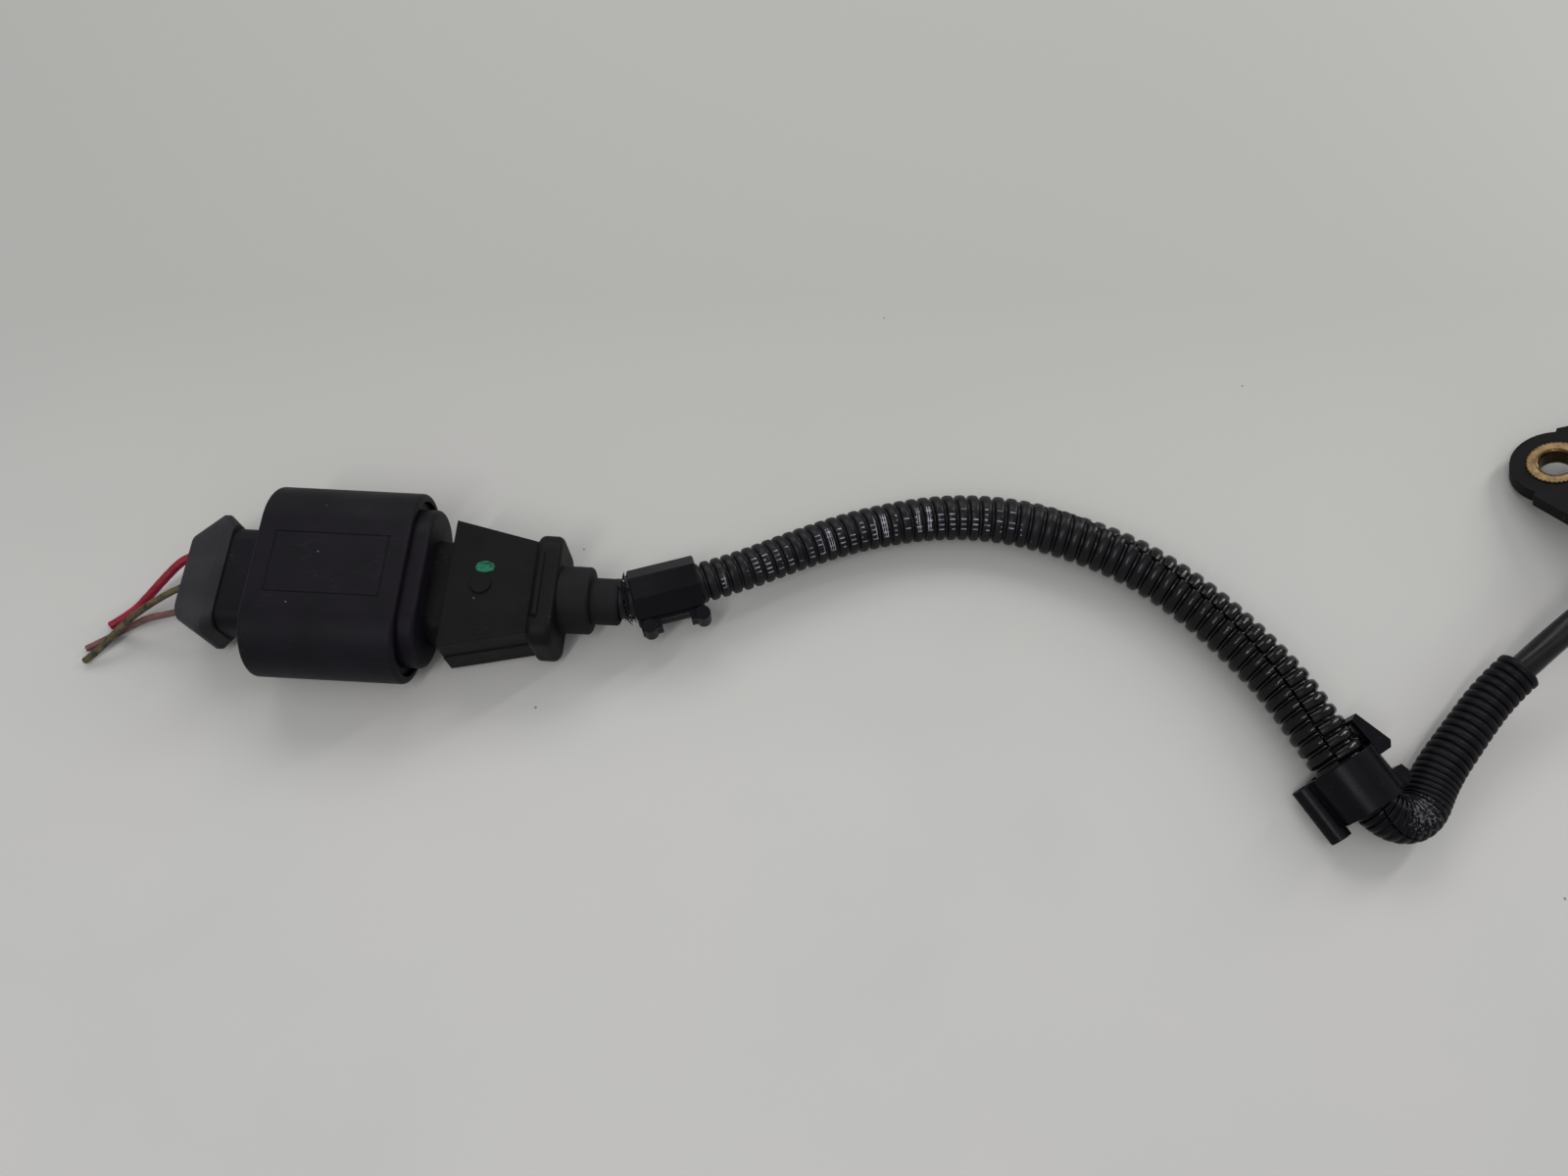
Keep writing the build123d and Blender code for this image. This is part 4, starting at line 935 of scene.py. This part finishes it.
def small_conduit_look(line):
    even_end = line.near(SMALL_CONDUIT_START) + EVEN_RIBS_LENGTH
    fold_start, fold_end = line.near(FOLD_START), line.near(FOLD_END)

    def shrunk(limits, here):
        return between(limits, smooth_step(here, even_end, fold_start)) * MM

    return {
        "pitch": lambda here: float(shrunk(SMALL_RIB_PITCHES, here)),
        "crest": lambda here: line.graded(SMALL_CONDUIT_RADII, here, MM),
        "depth": lambda here: shrunk(SMALL_RIB_DEPTHS, here),
        "seam_angle": lambda here: np.radians(
            between(SMALL_SEAM_ANGLES, smooth_step(here, fold_start, fold_end))
        ),
        "seam_gap": 0.045,
        "seam_depth": 0.1 * MM,
        "rib_offset": 0.0,
        "tuck": 0.0,
        "tuck_reach": 1.0,
        "columns": 60,
        "bore": SMALL_CONDUIT_BORE,
        "ragged": 0.0,
    }


def large_conduit_look(line):
    return {
        "pitch": lambda here: float(line.graded(LARGE_CONDUIT_PITCHES, here, MM)),
        "crest": lambda here: line.graded(LARGE_CONDUIT_RADII, here, MM),
        "depth": lambda here: LARGE_RIB_SHARE * line.graded(LARGE_CONDUIT_RADII, here, MM),
        "seam_angle": lambda here: line.graded(LARGE_CONDUIT_SEAM, here, math.radians(1)),
        "seam_gap": 0.05,
        "seam_depth": 0.12 * MM,
        "rib_offset": 0.5,
        "tuck": 0.35 * MM,
        "tuck_reach": 1.2,
        "columns": 64,
        "bore": LARGE_CONDUIT_BORE,
        "ragged": RAGGED_END,
    }


def make_conduits(lead):
    start, end = lead.near(SMALL_CONDUIT_START), lead.near(SMALL_CONDUIT_END)
    small = conduit(
        "narrow_conduit", lead, start, end, small_conduit_look(lead),
        MATERIALS["narrow_plastic"],
    )
    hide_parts("conduit_small")
    lead.stretch(start, end)
    start, end = lead.near(LARGE_CONDUIT_START), lead.near(LARGE_CONDUIT_END)
    large = conduit(
        "wide_conduit", lead, start, end, large_conduit_look(lead),
        MATERIALS["conduit_plastic"],
    )
    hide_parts("conduit_large")
    lead.stretch(start, end)


def make_tape(lead):
    """Cloth tape wound round the cable, each lap a step over the last."""
    lengths = np.linspace(lead.near(TAPE_START), lead.near(TAPE_END), num=60)
    along, angle = round_grid(lengths, columns=40)
    lap = np.mod(along / TAPE_LAP + angle / TAU, 1.0)
    tape = tube(
        "cable_tape", lead, along, angle, TAPE_RADIUS - TAPE_THICKNESS * lap,
        CABLE_RADIUS + TAPE_PLAY, MATERIALS["cloth_tape"],
    )
    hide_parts("tape_wrap")
    return tape


def make_threads(line):
    """Torn black threads at the conduit's frayed end between the plug and its clip."""
    draws = np.random.default_rng(THREAD_SEED)
    along, thick = np.array(THREAD_TAPER).T
    along = along[:, None]
    threads = []
    for _ in range(THREAD_COUNT):
        here = line.near(THREADS_START) + draws.random() * THREADS_REACH
        direction, up, right = line.frames(here)
        turn = TAU * draws.random()
        out = math.cos(turn) * up + math.sin(turn) * right
        side = np.cross(direction, out)
        ahead = (draws.random() - 0.5) * direction
        aside = (draws.random() - 0.5) * side
        lean = unit(THREAD_LEAN[0] * out + THREAD_LEAN[1] * ahead + THREAD_LEAN[2] * aside)
        droop = THREAD_DROOP * (draws.random(3) - 0.5)
        reach = between(THREAD_LENGTHS, draws.random()) * MM
        centres = line.at(here) + THREADS_FOOT * out + reach * (along * lean + along**2 * droop)
        threads.append(needle(centres, thick * THREAD_RADIUS, side, direction, THREAD_SIDES))
    return make_bundle(
        "conduit_threads", threads, THREAD_SIDES, MATERIALS["cloth_tape"]
    )


def make_strands(name, line, radius, count, seed):
    """Bare copper strands that stand a little out of a wire's cut end, splayed."""
    draws = np.random.default_rng(seed)
    direction, up, right = line.frames(line.total)
    end = line.at(line.total)
    along = np.array([[0.0], [0.5], [1.0]])
    radii = np.full(len(along), STRAND_RADIUS)
    strands = []
    for i in range(count):
        ring = 0.0 if i == 0 else STRAND_RING * radius
        spot = TAU * i / (count - 1)
        foot = end + ring * (math.cos(spot) * up + math.sin(spot) * right) - STRAND_SINK * direction
        splay = STRAND_SPLAY * (draws.random() - STRANDS_LEANING_IN) * (foot - end) / radius
        sway = STRAND_SWAY * (draws.random() - 0.5) * right
        lean = unit(direction + splay + sway)
        reach = between(STRAND_LENGTHS, draws.random()) * MM
        strands.append(needle(foot + reach * along * lean, radii, up, right, STRAND_SIDES))
    return make_bundle(name, strands, STRAND_SIDES, MATERIALS["bare_copper"])


def make_wire(name, node, route, diameter, length, count, seed):
    """A cut harness wire with its copper strands."""
    line = Line(route)
    wire = even_tube(
        name, line, diameter / 2, WIRE_CORES, MATERIALS[node], columns=24, step=0.35 * MM
    )
    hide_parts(node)
    make_strands(name + "_strands", line, diameter / 2, count, seed)


def make_cords():
    lead = Line(LEAD_ROUTE)
    cable = even_tube(
        "cable_jacket", lead, CABLE_RADIUS, CABLE_CORES, MATERIALS["cable_jacket"]
    )
    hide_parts("lead_cable")
    make_conduits(lead)
    tape = make_tape(lead)
    on_lead = [
        "plug_clip", "bend_clip", "plug_housing", "cable_grommet", "collar_ring", "lock_sleeve",
        "socket_body", "rear_cap", "wire_seal", "interface_seal",
    ]
    on_lead += [f"{kind}_{way}" for kind in ("plug_tab", "socket_terminal") for way in "abc"]
    make_threads(lead)
    for name, facts in WIRES.items():
        make_wire(name, *facts)


bpy.context.scene.view_settings.view_transform = "Standard"
make_camera()
make_lamps()
make_world()
make_table()
dress_nodes()
make_cords()
